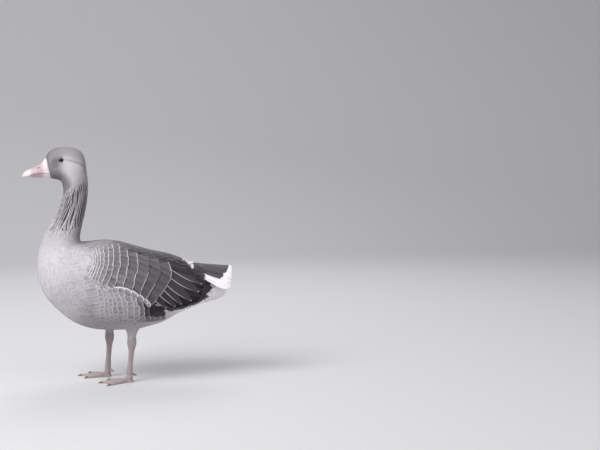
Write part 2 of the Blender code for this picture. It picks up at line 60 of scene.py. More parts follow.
SECTIONS = [
    ("bill", (-214, 593), (-204, 539)),
    ("brow", (-190, 617), (-186, 536)),
    ("eye", (-170, 620), (-176, 532)),
    ("crown", (-149, 619), (-172, 524)),
    ("occiput", (-117, 599), (-170, 500)),
    ("nape", (-111, 568), (-172, 490)),
    ("neck_1", (-108, 534), (-174, 485)),
    ("neck_2", (-108, 502), (-178, 474)),
    ("neck_3", (-112, 468), (-188, 448)),
    ("neck_4", (-120, 434), (-204, 418)),
    ("neck_5", (-126, 410), (-215, 400)),
    ("shoulder", (-129, 392), (-226, 381)),
    ("breast_1", (-127, 372), (-240, 331)),
    ("breast_2", (-109, 372), (-234, 262)),
    ("wing_root", (-77, 375), (-186, 190)),
    ("keel", (-56, 376), (-148, 160)),
    ("belly_1", (-30, 371), (-106, 143)),
    ("belly_2", (33, 349), (-22, 136)),
    ("vent_1", (97, 333), (52, 144)),
    ("vent_2", (124, 324), (85, 153)),
    ("rump", (146, 315), (122, 172)),
    ("tail_root", (167, 307), (160, 188)),
    ("coverts_1", (214, 299), (226, 206)),
    ("coverts_2", (263, 277), (265, 247)),
]
AT = {name: place for place, (name, _, _) in enumerate(SECTIONS)}
SECTION_LEVEL = 0.47   # height of the bird's middle line in a section, from its front
MAP_STEPS = 6          # planes kept between two sections, to find a point's place with


def at_places(**rows):
    """A table's rows, each led by the number of the section that it is named for."""
    return [(AT[name], *numbers) for name, numbers in rows.items()]


def blend(a, b, t):
    return a + (b - a) * t


def clamp(value, low=0.0, high=1.0):
    return min(max(value, low), high)


def ease(t):
    t = clamp(t)
    return t * t * (3 - 2 * t)


def ramp(value, start, end):
    """0 before start, 1 after end, with level ends. Start may lie above end."""
    return ease((value - start) / (end - start))


def smooth_row(rows, place):
    """The row of numbers at a fractional place on a Catmull-Rom curve through the rows."""
    here = int(clamp(place, 0, len(rows) - 1.001))
    t = place - here
    b = rows[here]
    c = rows[here + 1]
    a = rows[here - 1] if here > 0 else [2 * v - w for v, w in zip(b, c)]
    d = rows[here + 2] if here + 2 < len(rows) else [2 * w - v for v, w in zip(b, c)]
    return [
        0.5 * (2 * q + (r - p) * t + (2 * p - 5 * q + 4 * r - s) * t**2
               + (3 * q - p - 3 * r + s) * t**3)
        for p, q, r, s in zip(a, b, c, d)
    ]


def table_row(rows, place):
    """A row of a table read between its lines, each of which begins with its place along the bird."""
    if place <= rows[0][0]:
        return rows[0][1:]
    for low, high in zip(rows, rows[1:]):
        if place <= high[0]:
            t = (place - low[0]) / (high[0] - low[0])
            return [blend(a, b, t) for a, b in zip(low[1:], high[1:])]
    return rows[-1][1:]


class BirdMap:
    """Finds where a point of the surface is: its place along the bird, its angle round it from the
    back, and the way that its feathers lie."""

    def __init__(self):
        rows = [(*back, *front) for _, back, front in SECTIONS]
        count = (len(rows) - 1) * MAP_STEPS + 1
        table = np.array([smooth_row(rows, k / MAP_STEPS) for k in range(count)]) * MM
        back = np.stack([table[:, 0], np.zeros(count), table[:, 1]], axis=1)
        front = np.stack([table[:, 2], np.zeros(count), table[:, 3]], axis=1)
        self.height = np.linalg.norm(back - front, axis=1)
        self.centre = front + (back - front) * SECTION_LEVEL
        self.up = (back - front) / self.height[:, None]
        self.along = np.stack([self.up[:, 2], np.zeros(count), -self.up[:, 0]], axis=1)

    def find(self, point):
        """(place, angle from the back, direction of the lie)"""
        away = np.array(point) - self.centre
        off = (away * self.along).sum(axis=1)
        level = np.abs((away * self.up).sum(axis=1)) / self.height
        here = np.nonzero((off[:-1] >= 0) & (off[1:] < 0))[0]
        if len(here):
            k = int(here[np.argmin(level[here])])
            t = off[k] / (off[k] - off[k + 1])
        elif point.x < self.centre[0][0] or point.z > self.centre[0][2]:
            k, t = 0, 0.0
        else:
            k, t = len(off) - 2, 1.0
        centre = blend(self.centre[k], self.centre[k + 1], t)
        up = blend(self.up[k], self.up[k + 1], t)
        along = blend(self.along[k], self.along[k + 1], t)
        rise = float(np.dot(np.array(point) - centre, up))
        return (k + t) / MAP_STEPS, math.atan2(abs(point.y), rise), Vector(along).normalized()

    def ray(self, place, angle, side):
        """The middle of a section and the way out of it at an angle."""
        k = clamp(place * MAP_STEPS, 0, len(self.up) - 1.001)
        t = k - int(k)
        centre = Vector(blend(self.centre[int(k)], self.centre[int(k) + 1], t))
        up = Vector(blend(self.up[int(k)], self.up[int(k) + 1], t)).normalized()
        return centre, up * math.cos(angle) + Vector((0, side * math.sin(angle), 0))


bird = BirdMap()
eye_low, eye_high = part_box("eye_right")
EYE_CENTRE = (eye_low + eye_high) / 2
EYE_RADIUS = (eye_high.x - eye_low.x) / 2
EYE_BARE = (6.2, 3.9)   # half length and half height of the bare ring round it, in millimetres


# --- Surfaces made from the frame's solids

def sides_of(stem):
    return [f"{stem}_{side}" for side in SIDES]


FLESH = [
    "head", "neck_upper", "neck_lower", "breast", "trunk", "rump",
    *sides_of("wing"), *sides_of("flight"), *sides_of("thigh"),
]


def made_mesh(bm, name):
    """A new mesh from a bmesh, which it frees."""
    mesh = bpy.data.meshes.new(name)
    bm.to_mesh(mesh)
    bm.free()
    return mesh


def swollen_copy(nodes, swell):
    """One mesh of several nodes, each moved out a little so that their surfaces join."""
    joined = bmesh.new()
    for node in nodes:
        one = bmesh.new()
        one.from_mesh(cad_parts[node].data)
        bmesh.ops.remove_doubles(one, verts=one.verts, dist=MM / 100)
        bmesh.ops.recalc_face_normals(one, faces=one.faces)
        one.normal_update()
        for vertex, normal in [(v, v.normal.copy()) for v in one.verts]:
            vertex.co += normal * swell
        mesh = made_mesh(one, "copy")
        joined.from_mesh(mesh)
        bpy.data.meshes.remove(mesh)
    return joined


def new_object(name, mesh):
    obj = bpy.data.objects.new(name, mesh)
    bpy.context.scene.collection.objects.link(obj)
    return obj


def finish_piece(name, mesh, slot, material, *nodes):
    """A piece of the bird, which replaces nodes of the frame where any are named."""
    mesh.materials.clear()
    mesh.materials.append(material)
    piece = new_object(name, mesh)
    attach(piece, "root")
    if nodes:
        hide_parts(*nodes)
    return piece


def turned_vertices(mesh):
    """The mesh's vertices, each with its normal as it is before any of them moves."""
    return list(zip(mesh.vertices, [vertex.normal.copy() for vertex in mesh.vertices]))


def soft_form(name, nodes, voxel, smoothing, swell=0.4 * MM, bodies=1):
    """A closed, smooth mesh over several nodes, as so many separate bodies."""
    mesh = made_mesh(swollen_copy(nodes, swell), name)
    obj = new_object(name, mesh)
    remesh = obj.modifiers.new("remesh", "REMESH")
    remesh.mode = "VOXEL"
    remesh.voxel_size = voxel
    smooth = obj.modifiers.new("smooth", "SMOOTH")
    smooth.factor = 0.5
    smooth.iterations = smoothing
    graph = bpy.context.evaluated_depsgraph_get()
    form = bpy.data.meshes.new_from_object(obj.evaluated_get(graph))
    bpy.data.objects.remove(obj)
    bpy.data.meshes.remove(mesh)
    keep_largest(form, bodies)
    form.shade_smooth()
    return form


def keep_largest(mesh, bodies):
    """Drops the loose pieces of a mesh but those with the most points."""
    bm = bmesh.new()
    bm.from_mesh(mesh)
    unseen = set(bm.verts)
    groups = []
    while unseen:
        queue = [unseen.pop()]
        group = []
        while queue:
            vertex = queue.pop()
            group.append(vertex)
            for edge in vertex.link_edges:
                other = edge.other_vert(vertex)
                if other in unseen:
                    unseen.remove(other)
                    queue.append(other)
        groups.append(group)
    groups.sort(key=len)
    for group in groups[:-bodies]:
        bmesh.ops.delete(bm, geom=group, context="VERTS")
    bm.to_mesh(mesh)
    bm.free()


class Surface:
    """A smooth surface to lay feathers on."""

    def __init__(self, mesh):
        self.points = [v.co.copy() for v in mesh.vertices]
        faces = [tuple(p.vertices) for p in mesh.polygons]
        self.tree = BVHTree.FromPolygons(self.points, faces)
        turned = [v.normal.copy() for v in mesh.vertices]
        self.normals = [sum((turned[i] for i in face), Vector()).normalized() for face in faces]
        self.faces = faces
        self.areas = [p.area for p in mesh.polygons]
        self.centres = [p.center.copy() for p in mesh.polygons]

    def near(self, point):
        """(nearest point of the surface, normal there)"""
        place, _, face, _ = self.tree.find_nearest(point)
        return place, self.normals[face]

    def below(self, point, direction):
        """Where a ray meets the surface, and the normal there."""
        place, _, face, _ = self.tree.ray_cast(point, direction)
        if place is None:
            return None, None
        return place, self.normals[face]


def joined_surface(*meshes):
    """One surface over several meshes."""
    bm = bmesh.new()
    for mesh in meshes:
        bm.from_mesh(mesh)
    return Surface(made_mesh(bm, "both"))


FORM_VOXEL = 3.0 * MM
form_mesh = soft_form("form", FLESH, FORM_VOXEL, 8)
form = Surface(form_mesh)
tail_mesh = soft_form("tail_form", ["tail"], 1.6 * MM, 3)
outer = joined_surface(form_mesh, tail_mesh)
tail_tree = Surface(tail_mesh).tree
thigh_tree = Surface(soft_form("thighs", sides_of("thigh"), 4 * MM, 2, bodies=2)).tree
leg_form = joined_surface(
    form_mesh,
    soft_form("legs", [*sides_of("thigh"), *sides_of("shank")], 2 * MM, 4, bodies=2),
)
wing_tree = Surface(
    soft_form("wings", [*sides_of("wing"), *sides_of("flight")], FORM_VOXEL, 2, bodies=2)
).tree


# --- Colours: greys on the 0 to 255 scale of a screen, all a little towards mauve

def linear(value):
    value = clamp(value / 255)
    return value / 12.92 if value <= 0.04045 else ((value + 0.055) / 1.055) ** 2.4


def grey(level, warmth=0.0):
    """A grey of the plumage. Warmth moves it from mauve towards brown."""
    return (
        linear(level + 1 + 5 * warmth),
        linear(level - 3 + 3 * warmth),
        linear(level + 4 - 10 * warmth),
    )


# Place along the bird, then the grey of its front, side and back, then a small feather's length and
# width there. The front greys under the head and from the keel to vent_2, and the side greys at the
# keel and belly_1, are darker than the plumage itself: painted shade under the bird.
PLUMAGE = at_places(
    bill=(138, 146, 150, 3.0, 2.2),
    brow=(136, 166, 164, 3.8, 2.5),
    eye=(136, 218, 172, 4.8, 2.9),
    crown=(136, 232, 174, 5.5, 3.1),
    occiput=(136, 218, 172, 6.5, 3.4),
    nape=(142, 186, 164, 8.5, 4.0),
    neck_1=(142, 150, 132, 11, 4.6),
    neck_3=(158, 150, 114, 14, 5.6),
    neck_5=(186, 172, 116, 16, 9),
    shoulder=(198, 188, 128, 17, 11),
    breast_1=(206, 202, 140, 20, 14),
    breast_2=(204, 202, 142, 23, 17),
    wing_root=(198, 190, 132, 25, 19),
    keel=(166, 166, 114, 26, 20),
    belly_1=(152, 152, 92, 27, 20),
    belly_2=(172, 148, 78, 27, 20),
    vent_1=(188, 124, 76, 27, 19),
    vent_2=(206, 84, 76, 27, 18),
    rump=(232, 78, 78, 26, 17),
    tail_root=(236, 78, 80, 24, 16),
    coverts_1=(238, 120, 100, 24, 14),
    coverts_2=(238, 200, 200, 20, 11),
)


def plumage(place, angle):
    """(grey, length, width) of the small feathers at a place and an angle from the back."""
    front, side, back, length, width = table_row(PLUMAGE, place)
    cheek = ramp(place, AT["crown"], AT["occiput"]) * ramp(place, AT["neck_1"], AT["nape"])
    level = blend(back, side, ramp(angle, blend(0.45, 0.3, cheek), blend(1.15, 0.75, cheek)))
    rear = ramp(place, AT["belly_2"], AT["vent_2"])
    level = blend(level, front, ramp(angle, blend(1.9, 1.3, rear), blend(2.7, 1.75, rear)))
    return level, length * MM, width * MM


# --- Feathers

class Style:
    """How a kind of feather is shaped. Heights are from the outline of the bird, in millimetres."""

    lift = 0.3          # how far its tip stands out
    crown = 0.08        # rise of its middle, as a share of its width
    thick = 0.25        # thickness at the shaft
    base = 0.45         # width at the root, as a share of the full width
    tip = 0.8           # width at the tip, likewise
    corner = 0.3        # how far its corners end ahead of its tip, as a share of the length
    widest = 0.65       # where it is widest
    along = (0, 0.3, 0.6, 0.82, 0.94, 1)   # its cross rows of points, as shares of the length
    stiff = False       # whether it bridges hollows instead of following them
    fringe = 1.2        # width of its pale edge in millimetres
    edges = "all"       # which edges have it: "all", "sides", or "one" side and the tip
    soft = 0.0          # how far its shading is that of the bird's own surface
    jitter = 0.12       # how far it lies above or below its neighbours, by chance

    def __init__(self, bury, across=(0.72,), **more):
        self.bury = bury          # how deep its root lies
        self.across = [-1, *[-a for a in reversed(across)], 0, *across, 1]
        vars(self).update(more)

    def half_width(self, t):
        """Half the width at a share of the length, as a share of the full half width."""
        if t < self.widest:
            return blend(self.base, 1, math.sin(math.pi / 2 * t / self.widest))
        past = (t - self.widest) / (1 - self.widest)
        return blend(1, self.tip, past**2)


TINY = (0, 0.45, 0.85, 1)
RIM_ANGLE = math.radians(70)   # a vane's two faces meet at a sharp rim
PATCH = 0.003          # side of a feather's patch on the map that colours are baked to


class Coat:
    """The feathers of one tract, as one mesh."""

    def __init__(self, name, slot, surface, seed, contrast=1.0):
        self.name = name
        self.slot = slot
        self.surface = surface
        self.contrast = contrast      # how strongly each feather is marked
        self.random = random.Random(seed)
        self.points = []
        self.faces = []
        self.vane = []        # share of the length, share of the half width, nearness to the edge
        self.tint = []        # main colour, and a number of the feather's own
        self.fringe = []      # colour of the edge, and its width as a share of the half width
        self.tip = []         # share of the length that has the edge's colour at the tip
        self.normals = []     # of the points, or none where the mesh's own are used
        self.patch = []

    def spine(self, root, direction, length, steps):
        """Points along the surface from the root, with the surface's normals there."""
        spine = []
        point, normal = self.surface.near(root)
        before = 0.0
        for t in steps:
            if t > before:
                direction = (direction - normal * direction.dot(normal)).normalized()
                point, normal = self.surface.near(point + direction * (t - before) * length)
                before = t
            spine.append((point, normal))
        return spine

    def line(self, points, steps):
        """Points of the surface nearest to a smooth line through some points."""
        rows = [tuple(p) for p in points]
        spine = []
        for t in steps:
            spine.append(self.surface.near(Vector(smooth_row(rows, t * (len(rows) - 1)))))
        return spine

    def lay(self, spine, length, width, style, tint, fringe=None, raise_by=0.0, roll=0.0,
            skew=0.0, arch=1.0, fringe_share=1.0, tip=0.0, edge_side=1):
        """Adds a feather along a spine. Roll lifts its one edge and sinks the other, in metres, skew
        moves its one corner on and the other back, as a share of the width, and arch multiplies the
        style's crown."""
        steps = style.along
        half = width / 2
        own = self.random.random()
        jitter = self.random.uniform(-style.jitter, style.jitter) * MM
        start = len(self.points)
        columns = len(style.across)
        top = []
        under = []
        shading = []
        for k, (t, (centre, normal)) in enumerate(zip(steps, spine)):
            after = spine[min(k + 1, len(spine) - 1)][0]
            ahead = spine[max(k - 1, 0)][0]
            tangent = (after - ahead).normalized()
            side = normal.cross(tangent).normalized()
            across = half * style.half_width(t)
            rise = -style.bury * (1 - t) ** 1.3 * MM + style.lift * t**2 * MM + raise_by + jitter
            for j, v in enumerate(style.across):
                back = style.corner * length * abs(v) ** 2.5 * t**2 - skew * v * across * t**2
                at = centre + side * v * across - tangent * back
                if style.stiff:
                    drop = abs(v) * across * 0.45
                    place, _ = self.surface.below(at + normal * 12 * MM, -normal)
                    fall = (at - place).dot(normal) if place is not None else drop
                    at -= normal * clamp(fall, -drop, drop)
                    face_normal = normal
                else:
                    at, face_normal = self.surface.near(at)
                    shading.append(face_normal)
                bow = style.crown * arch * across * (0.5 - v * v) * min(t / 0.35, 1)
                height = rise + bow + roll * v
                top.append(at + face_normal * height)
                inner = 0 < k < len(steps) - 1 and 0 < j < columns - 1
                if inner:
                    thick = style.thick * MM * (1 - 0.5 * v * v)
                    under.append(at + face_normal * (height - thick))
                inward = 1 - (abs(v) if style.edges != "one" else v * edge_side)
                edge = across * inward
                if style.edges != "sides":
                    edge = min(length * (1 - t) + max(back, 0) * 0.4, edge)
                self.vane.append((t, v, 1 - clamp(edge / half)))
        self.points += top + under
        rows = len(steps)
        inner_columns = columns - 2
        for k in range(1, rows - 1):
            for j in range(1, columns - 1):
                self.vane.append(self.vane[start + k * columns + j])

        def below(k, j):
            if 0 < k < rows - 1 and 0 < j < columns - 1:
                return start + rows * columns + (k - 1) * inner_columns + j - 1
            return start + k * columns + j

        for k in range(rows - 1):
            for j in range(columns - 1):
                a = start + k * columns + j
                self.faces.append((a, a + columns, a + columns + 1, a + 1))
                self.faces.append(
                    (below(k, j), below(k, j + 1), below(k + 1, j + 1), below(k + 1, j))
                )
        made = len(self.points) - start
        own_shading = [(0, 0, 0)] * len(top)
        if style.soft:
            own_shading = self.soft_normals(top, shading, columns, style.soft)
        self.normals += own_shading + [(0, 0, 0)] * len(under)
        fringe = tint if fringe is None else fringe
        edge_share = clamp(style.fringe * fringe_share * MM / half, 0.0, 0.9)
        self.tint += [(*tint, own)] * made
        self.fringe += [(*fringe, edge_share)] * made
        self.tip += [tip] * made
        u, v = map_place(spine[0][0])
        for t, across_share, _ in self.vane[start:]:
            self.patch.append((u + across_share * PATCH / 2, v + (t - 0.5) * PATCH))

    @staticmethod
    def soft_normals(top, shading, columns, soft):
        """Normals between those of the vane and those of the bird's surface under it."""
        normals = []
        for i, point in enumerate(top):
            k, j = divmod(i, columns)
            ahead = top[i - columns] if k else point
            after = top[i + columns] if i + columns < len(top) else point
            left = top[i - 1] if j else point
            right = top[i + 1] if j < columns - 1 else point
            own = (after - ahead).cross(right - left)
            if own.dot(shading[i]) < 0:
                own = -own
            normals.append(tuple(own.normalized().lerp(shading[i], soft).normalized()))
        return normals

    def build(self, *nodes):
        """Makes the tract's piece, with its colours, its vanes' own coordinates and its map."""
        mesh = bpy.data.meshes.new(self.name)
        mesh.from_pydata(self.points, [], self.faces)
        for layer, kind, key, values in (
            ("vane", "FLOAT_VECTOR", "vector", self.vane), ("tip", "FLOAT", "value", self.tip),
            ("tint", "FLOAT_COLOR", "color", self.tint), ("fringe", "FLOAT_COLOR", "color", self.fringe),
        ):
            attribute = mesh.attributes.new(layer, kind, "POINT")
            attribute.data.foreach_set(key, np.array(values, np.float32).ravel())
        corners = np.empty(len(mesh.loops), np.int32)
        mesh.loops.foreach_get("vertex_index", corners)
        layer = mesh.uv_layers.new(name="OFBake")
        layer.data.foreach_set("uv", np.array(self.patch, np.float32)[corners].ravel())
        mesh.shade_smooth()
        mesh.set_sharp_from_angle(angle=RIM_ANGLE)
        if any(any(normal) for normal in self.normals):
            mesh.normals_split_custom_set_from_vertices(self.normals)
        look = feather_material(self.name, self.contrast)
        finish_piece(self.name, mesh, self.slot, look, *nodes)


def map_place(point):
    """Where a root lies on the unwrapped skin: along the bird, and round it from belly to belly."""
    place, angle, _ = bird.find(point)
    side = 1 if point.y > 0 else -1
    return 0.02 + 0.96 * place / (len(SECTIONS) - 1), 0.5 + side * 0.47 * angle / math.pi


# --- Materials

class Graph:
    """Short names for building the nodes of a material, or of the world."""

    def __init__(self, name, blocks="materials", shader="Principled BSDF"):
        self.block = getattr(bpy.data, blocks).new(name)
        self.block.use_nodes = True
        self.nodes = self.block.node_tree.nodes
        self.links = self.block.node_tree.links
        self.shader = self.nodes[shader]

    def set(self, node, inputs):
        for socket, value in inputs.items():
            if isinstance(value, bpy.types.NodeSocket):
                self.links.new(value, node.inputs[socket])
            else:
                node.inputs[socket].default_value = value

    def add(self, kind, inputs, **settings):
        """The outputs of a new node."""
        node = self.nodes.new("ShaderNode" + kind)
        for setting, value in settings.items():
            setattr(node, setting, value)
        self.set(node, inputs)
        return node.outputs

    def math(self, operation, *values):
        return self.add("Math", dict(enumerate(values)), operation=operation)[0]

    def mix(self, factor, a, b, kind="MIX"):
        inputs = {"Factor": factor, 6: a, 7: b}
        return self.add("Mix", inputs, data_type="RGBA", blend_type=kind)[2]

    def steps(self, *values):
        """A smooth step of a value, from a start to an end, and from 0 to 1 or as given."""
        return self.add("MapRange", dict(enumerate(values)), interpolation_type="SMOOTHSTEP")[0]

    def attribute(self, name):
        return self.add("Attribute", {}, attribute_name=name)

    def noise(self, scale, detail):
        return self.add("TexNoise", {"Vector": self.place(), "Scale": scale, "Detail": detail})["Fac"]

    def cell_rims(self, size):
        """How far a point is from the nearest rim of cells of about a size."""
        inputs = {"Vector": self.place(), "Scale": 1 / size}
        return self.add("TexVoronoi", inputs, feature="DISTANCE_TO_EDGE")["Distance"]

    def place(self, kind="Object"):
        return self.add("TexCoord", {})[kind]

    def split(self, vector):
        return self.add("SeparateXYZ", {0: vector})

    def bump(self, height, distance, strength):
        inputs = {"Height": height, "Distance": distance, "Strength": strength}
        self.set(self.shader, {"Normal": self.add("Bump", inputs)[0]})

    def finish(self, colour, roughness, specular=0.3, sheen=0.0, coat=0.0):
        self.set(self.shader, {
            "Base Color": colour, "Roughness": roughness, "Specular IOR Level": specular,
            "Sheen Weight": sheen, "Coat Weight": coat,
        })
        return self.block


def feather_material(name, contrast):
    """A vane: darker along its middle, with a shaft, fine barbs and an edge of its own colour."""
    graph = Graph(name)
    along, across, rim = graph.split(graph.attribute("vane")["Vector"])
    tint = graph.attribute("tint")
    fringe = graph.attribute("fringe")
    aside = graph.math("ABSOLUTE", across)
    slant = graph.math("MULTIPLY_ADD", aside, -0.35, along)
    barbs = graph.math("SINE", graph.math("MULTIPLY", slant, 150.0))
    frayed = graph.noise(700.0, 2.0)
    own = graph.math("MULTIPLY_ADD", tint["Alpha"], 0.16 * contrast, 1 - 0.08 * contrast)
    barred = graph.math("MULTIPLY_ADD", barbs, 0.02, own)
    middle = 1 - 0.14 * contrast
    shade = graph.math("MULTIPLY", barred, graph.steps(rim, 0.0, 0.9, middle, 1 + 0.04 * contrast))
    shade = graph.math("MULTIPLY", shade, graph.math("MULTIPLY_ADD", frayed, 0.16, 0.92))
    colour = graph.mix(1.0, tint["Color"], shade, "MULTIPLY")
    shaft = graph.steps(aside, 0.05, 0.02)
    dark = graph.math("MULTIPLY", shaft, 0.25 * contrast)
    colour = graph.mix(dark, colour, (0.02, 0.018, 0.018, 1))
    start = graph.math("SUBTRACT", 0.98, fringe["Alpha"])
    wavy = graph.math("MULTIPLY_ADD", graph.math("SUBTRACT", frayed, 0.5), 0.1, rim)
    edge = graph.steps(wavy, start, graph.math("ADD", start, 0.1))
    end = graph.math("SUBTRACT", 1.0, graph.attribute("tip")["Fac"])
    ragged = graph.math("MULTIPLY_ADD", frayed, 0.03, along)
    edge = graph.math("MAXIMUM", edge, graph.steps(ragged, end, graph.math("ADD", end, 0.05)))
    colour = graph.mix(edge, colour, fringe["Color"])
    height = graph.math("ADD", graph.math("MULTIPLY", barbs, 0.5), graph.math("MULTIPLY", shaft, 2.0))
    graph.bump(height, 0.1 * MM, 0.5)
    return graph.finish(colour, 0.62, specular=0.28, sheen=0.08)


def skin_material():
    graph = Graph("skin")
    tint = graph.attribute("tint")["Color"]
    fluff = graph.noise(400.0, 4.0)
    colour = graph.mix(1.0, tint, graph.math("MULTIPLY_ADD", fluff, 0.5, 0.6), "MULTIPLY")
    graph.bump(fluff, 0.6 * MM, 0.6)
    return graph.finish(colour, 0.8, specular=0.15)


# --- The skin: inside the feathers by their depth, with the same markings, darkened as painted shade

# How deep the skin lies below the solids, in millimetres.
COAT_DEPTH = at_places(
    bill=[0.5], brow=[0.7], eye=[0.9], occiput=[1.2], neck_1=[3.0], neck_5=[3.4], breast_2=[3.0],
    rump=[3.0], coverts_2=[2.5],
)
# How much darker the skin is than the feathers over it, as a share of their grey: painted shade in the
# gaps between feathers, darkest in the neck's furrows.
SKIN_PAINTED_SHADE = at_places(
    occiput=[0.95], nape=[0.65], neck_3=[0.55], neck_5=[0.75], breast_1=[0.85]
)
THIGH_DEPTH = 2.5
QUILL_SHADOW_GREY = 52       # grey of the painted shadow below the flight feathers, of the painted shade on the skin beside the wing, and of the down on the thighs
WING_GAP_SHADE = 60
THIGH_DOWN = 170
BACK_RISE = 4.5 * MM    # how far the feathers stand out of the solids along the middle of the back


def thigh_share(point):
    """1 on a thigh below the belly, 0 away from it."""
    _, _, _, far = thigh_tree.find_nearest(point)
    return ramp(far, 9 * MM, 2 * MM) * ramp(point.z, 165 * MM, 130 * MM)


def wing_far(point):
    return wing_tree.find_nearest(point)[3]


def back_rise(place, angle):
    """How far the feathers stand out of the solids along the middle of the back."""
    along = ramp(place, AT["keel"], AT["belly_2"]) * ramp(place, AT["rump"] - 0.4, AT["vent_2"] - 0.3)
    return BACK_RISE * along * ramp(angle, 0.65, 0.15)


def quill_shadow(point, far):
    """1 in the painted shadow along the lower edge of the flight feathers, 0 elsewhere."""
    reach = blend(16, 10, ramp(point.x, 95 * MM, 125 * MM)) * MM
    return ramp(far, reach, reach - 3 * MM) * ramp(point.x, 50 * MM, 66 * MM)


def make_skin():
    mesh = form_mesh.copy()
    mesh.name = "skin"
    moves = []
    tints = []
    for vertex in mesh.vertices:
        place, angle, _ = bird.find(vertex.co)
        depth = table_row(COAT_DEPTH, place)[0]
        leg = thigh_share(vertex.co)
        depth = blend(depth, THIGH_DEPTH, leg)
        moves.append(vertex.co - vertex.normal * depth * MM)
        far = wing_far(vertex.co)
        # painted shadow of the folded wing, just below the flight feathers
        level = blend(plumage(place, angle)[0], QUILL_SHADOW_GREY, quill_shadow(vertex.co, far))
        # skin beside the wing gets painted shade, as dark as the gap between wing and body
        if far < WING_MARGIN:
            level = WING_GAP_SHADE
        level = blend(level, THIGH_DOWN, leg)
        # the skin's grey, darkened as painted shade of the gaps between feathers
        tints.append((*grey(level * table_row(SKIN_PAINTED_SHADE, place)[0]), 1))
    for vertex, move in zip(mesh.vertices, moves):
        vertex.co = move
    layer = mesh.attributes.new("tint", "FLOAT_COLOR", "POINT")
    layer.data.foreach_set("color", np.array(tints, np.float32).ravel())
    return finish_piece("skin", mesh, "breast_feathers", skin_material(), *FLESH)


# --- Small feathers, scattered closely over the head, body and thighs

TRIES = 9                # candidates for each place that a feather has
FACE_MAP = [bird.find(centre)[:2] for centre in form.centres]
CELL = 4 * MM            # size of the cells that the kept points are looked up by


def scatter(wanted, seed):
    """Points spread over the body's form. wanted(point, place, angle) gives the least distance
    between neighbours there, or None where no feather grows."""
    rng = random.Random(seed)
    candidates = []
    for centre, area, face, (place, angle) in zip(form.centres, form.areas, form.faces, FACE_MAP):
        apart = wanted(centre, place, angle)
        if apart is None:
            continue
        count = area / apart**2 * TRIES
        count = int(count) + (rng.random() < count - int(count))
        corners = [form.points[i] for i in face]
        for _ in range(count):
            a, b = rng.random(), rng.random()
            if len(corners) == 4:
                point = corners[0].lerp(corners[1], a).lerp(corners[3].lerp(corners[2], a), b)
            else:
                if a + b > 1:
                    a, b = 1 - a, 1 - b
                point = corners[0] + (corners[1] - corners[0]) * a + (corners[2] - corners[0]) * b
            candidates.append((point, apart))
    rng.shuffle(candidates)
    grid = {}
    kept = []
    for point, apart in candidates:
        x, y, z = (int(value // CELL) for value in point)
        reach = int(apart / CELL) + 1
        steps = range(-reach, reach + 1)
        near = (
            (point - other).length_squared < apart * apart
            for dx, dy, dz in itertools.product(steps, repeat=3)
            for other in grid.get((x + dx, y + dy, z + dz), ())
        )
        if any(near):
            continue
        grid.setdefault((x, y, z), []).append(point)
        kept.append(point)
    return kept


HEAD_STYLE = Style(0.45, lift=0.0, crown=0.03, thick=0.06, along=TINY, across=(), fringe=0.3,
                   corner=0.4, tip=0.5, soft=0.8, jitter=0.03)
SOFT_STYLE = Style(0.9, lift=0.0, crown=0.02, thick=0.1, corner=0.3, tip=0.7, fringe=1.0,
                   across=(0.5, 0.84), soft=0.8, jitter=0.05)
THIGH_STYLE = Style(1.6, lift=0.2, crown=0.06, corner=0.34, along=TINY, across=(0.6,), fringe=0.6,
                    soft=0.6)
NECK_STYLE = Style(1.6, lift=0.2, crown=0.95, corner=0.2, tip=0.5, widest=0.45, base=0.7,
                   along=(0, 0.35, 0.7, 0.9, 1), across=(0.55,), fringe=1.25, edges="sides")


def lay_small(coat, point, style, direction, length, width, tint, fringe, turn=8.0, **more):
    """One feather of a scattered tract, turned a little at random."""
    angle = math.radians(coat.random.gauss(0, turn))
    _, normal = coat.surface.near(point)
    direction = (direction - normal * direction.dot(normal)).normalized()
    direction = direction * math.cos(angle) + normal.cross(direction) * math.sin(angle)
    length *= coat.random.uniform(0.88, 1.12)
    width *= coat.random.uniform(0.9, 1.1)
    spine = coat.spine(point, direction, length, style.along)
    coat.lay(spine, length, width, style, tint, fringe, **more)


HEAD_SPACING = 0.305    # distance between roots, as a share of the root of length times width
BODY_SPACING = 0.36
HEAD_LONG = 1.3         # how much longer and narrower than the body's kind the head's feathers are
HEAD_NARROW = 0.72
HEAD_TRACTS = {"plumage_cap": 1.25, "plumage_face": math.pi}


def eye_share(point):
    """How far a point is from the middle of an eye, as a share of the size of its bare ring."""
    away = Vector((point.x, abs(point.y), point.z)) - EYE_CENTRE
    return math.hypot(away.x / EYE_BARE[0], away.z / EYE_BARE[1], away.y / (3 * EYE_BARE[0])) / MM


def head_wanted(point, place, angle):
    if place > neck_start(angle) + 0.7 or place <= 0.02 or eye_share(point) < 1:
        return None
    _, length, width = plumage(place, angle)
    return HEAD_SPACING * math.sqrt(length * width)


# How much each marking beside the eye changes the grey; the pale spot at the eye's front corner is a
# painted highlight.
LORE = -24
BROW = 14
EYE_CORNER_HIGHLIGHT = 30
EYE_STRIPE = -34


def head_look(point, place, angle):
    """Grey of the head's feathers: a dark cap, lore and nape, and a pale cheek."""
    x, _, z = (Vector((point.x, abs(point.y), point.z)) - EYE_CENTRE) / MM
    lore = ramp(math.hypot((x + 17) / 9, (z + 7) / 14), 1.3, 0.5)
    brow = ramp(abs(z - 6 + 0.03 * x**2), 2.4, 0.6) * ramp(abs(x + 2), 11, 6)
    # a painted highlight just ahead of the eye
    corner = ramp(math.hypot(x + 8, z + 0.5), 4.5, 1.5)
    stripe = ramp(abs(z - 1 + 0.0045 * x**2), 5, 1) * ramp(x, 3, 10) * ramp(x, 62, 48)
    marks = zip((LORE, BROW, EYE_CORNER_HIGHLIGHT, EYE_STRIPE), (lore, brow, corner, stripe))
    return plumage(place, angle)[0] + sum(change * share for change, share in marks)


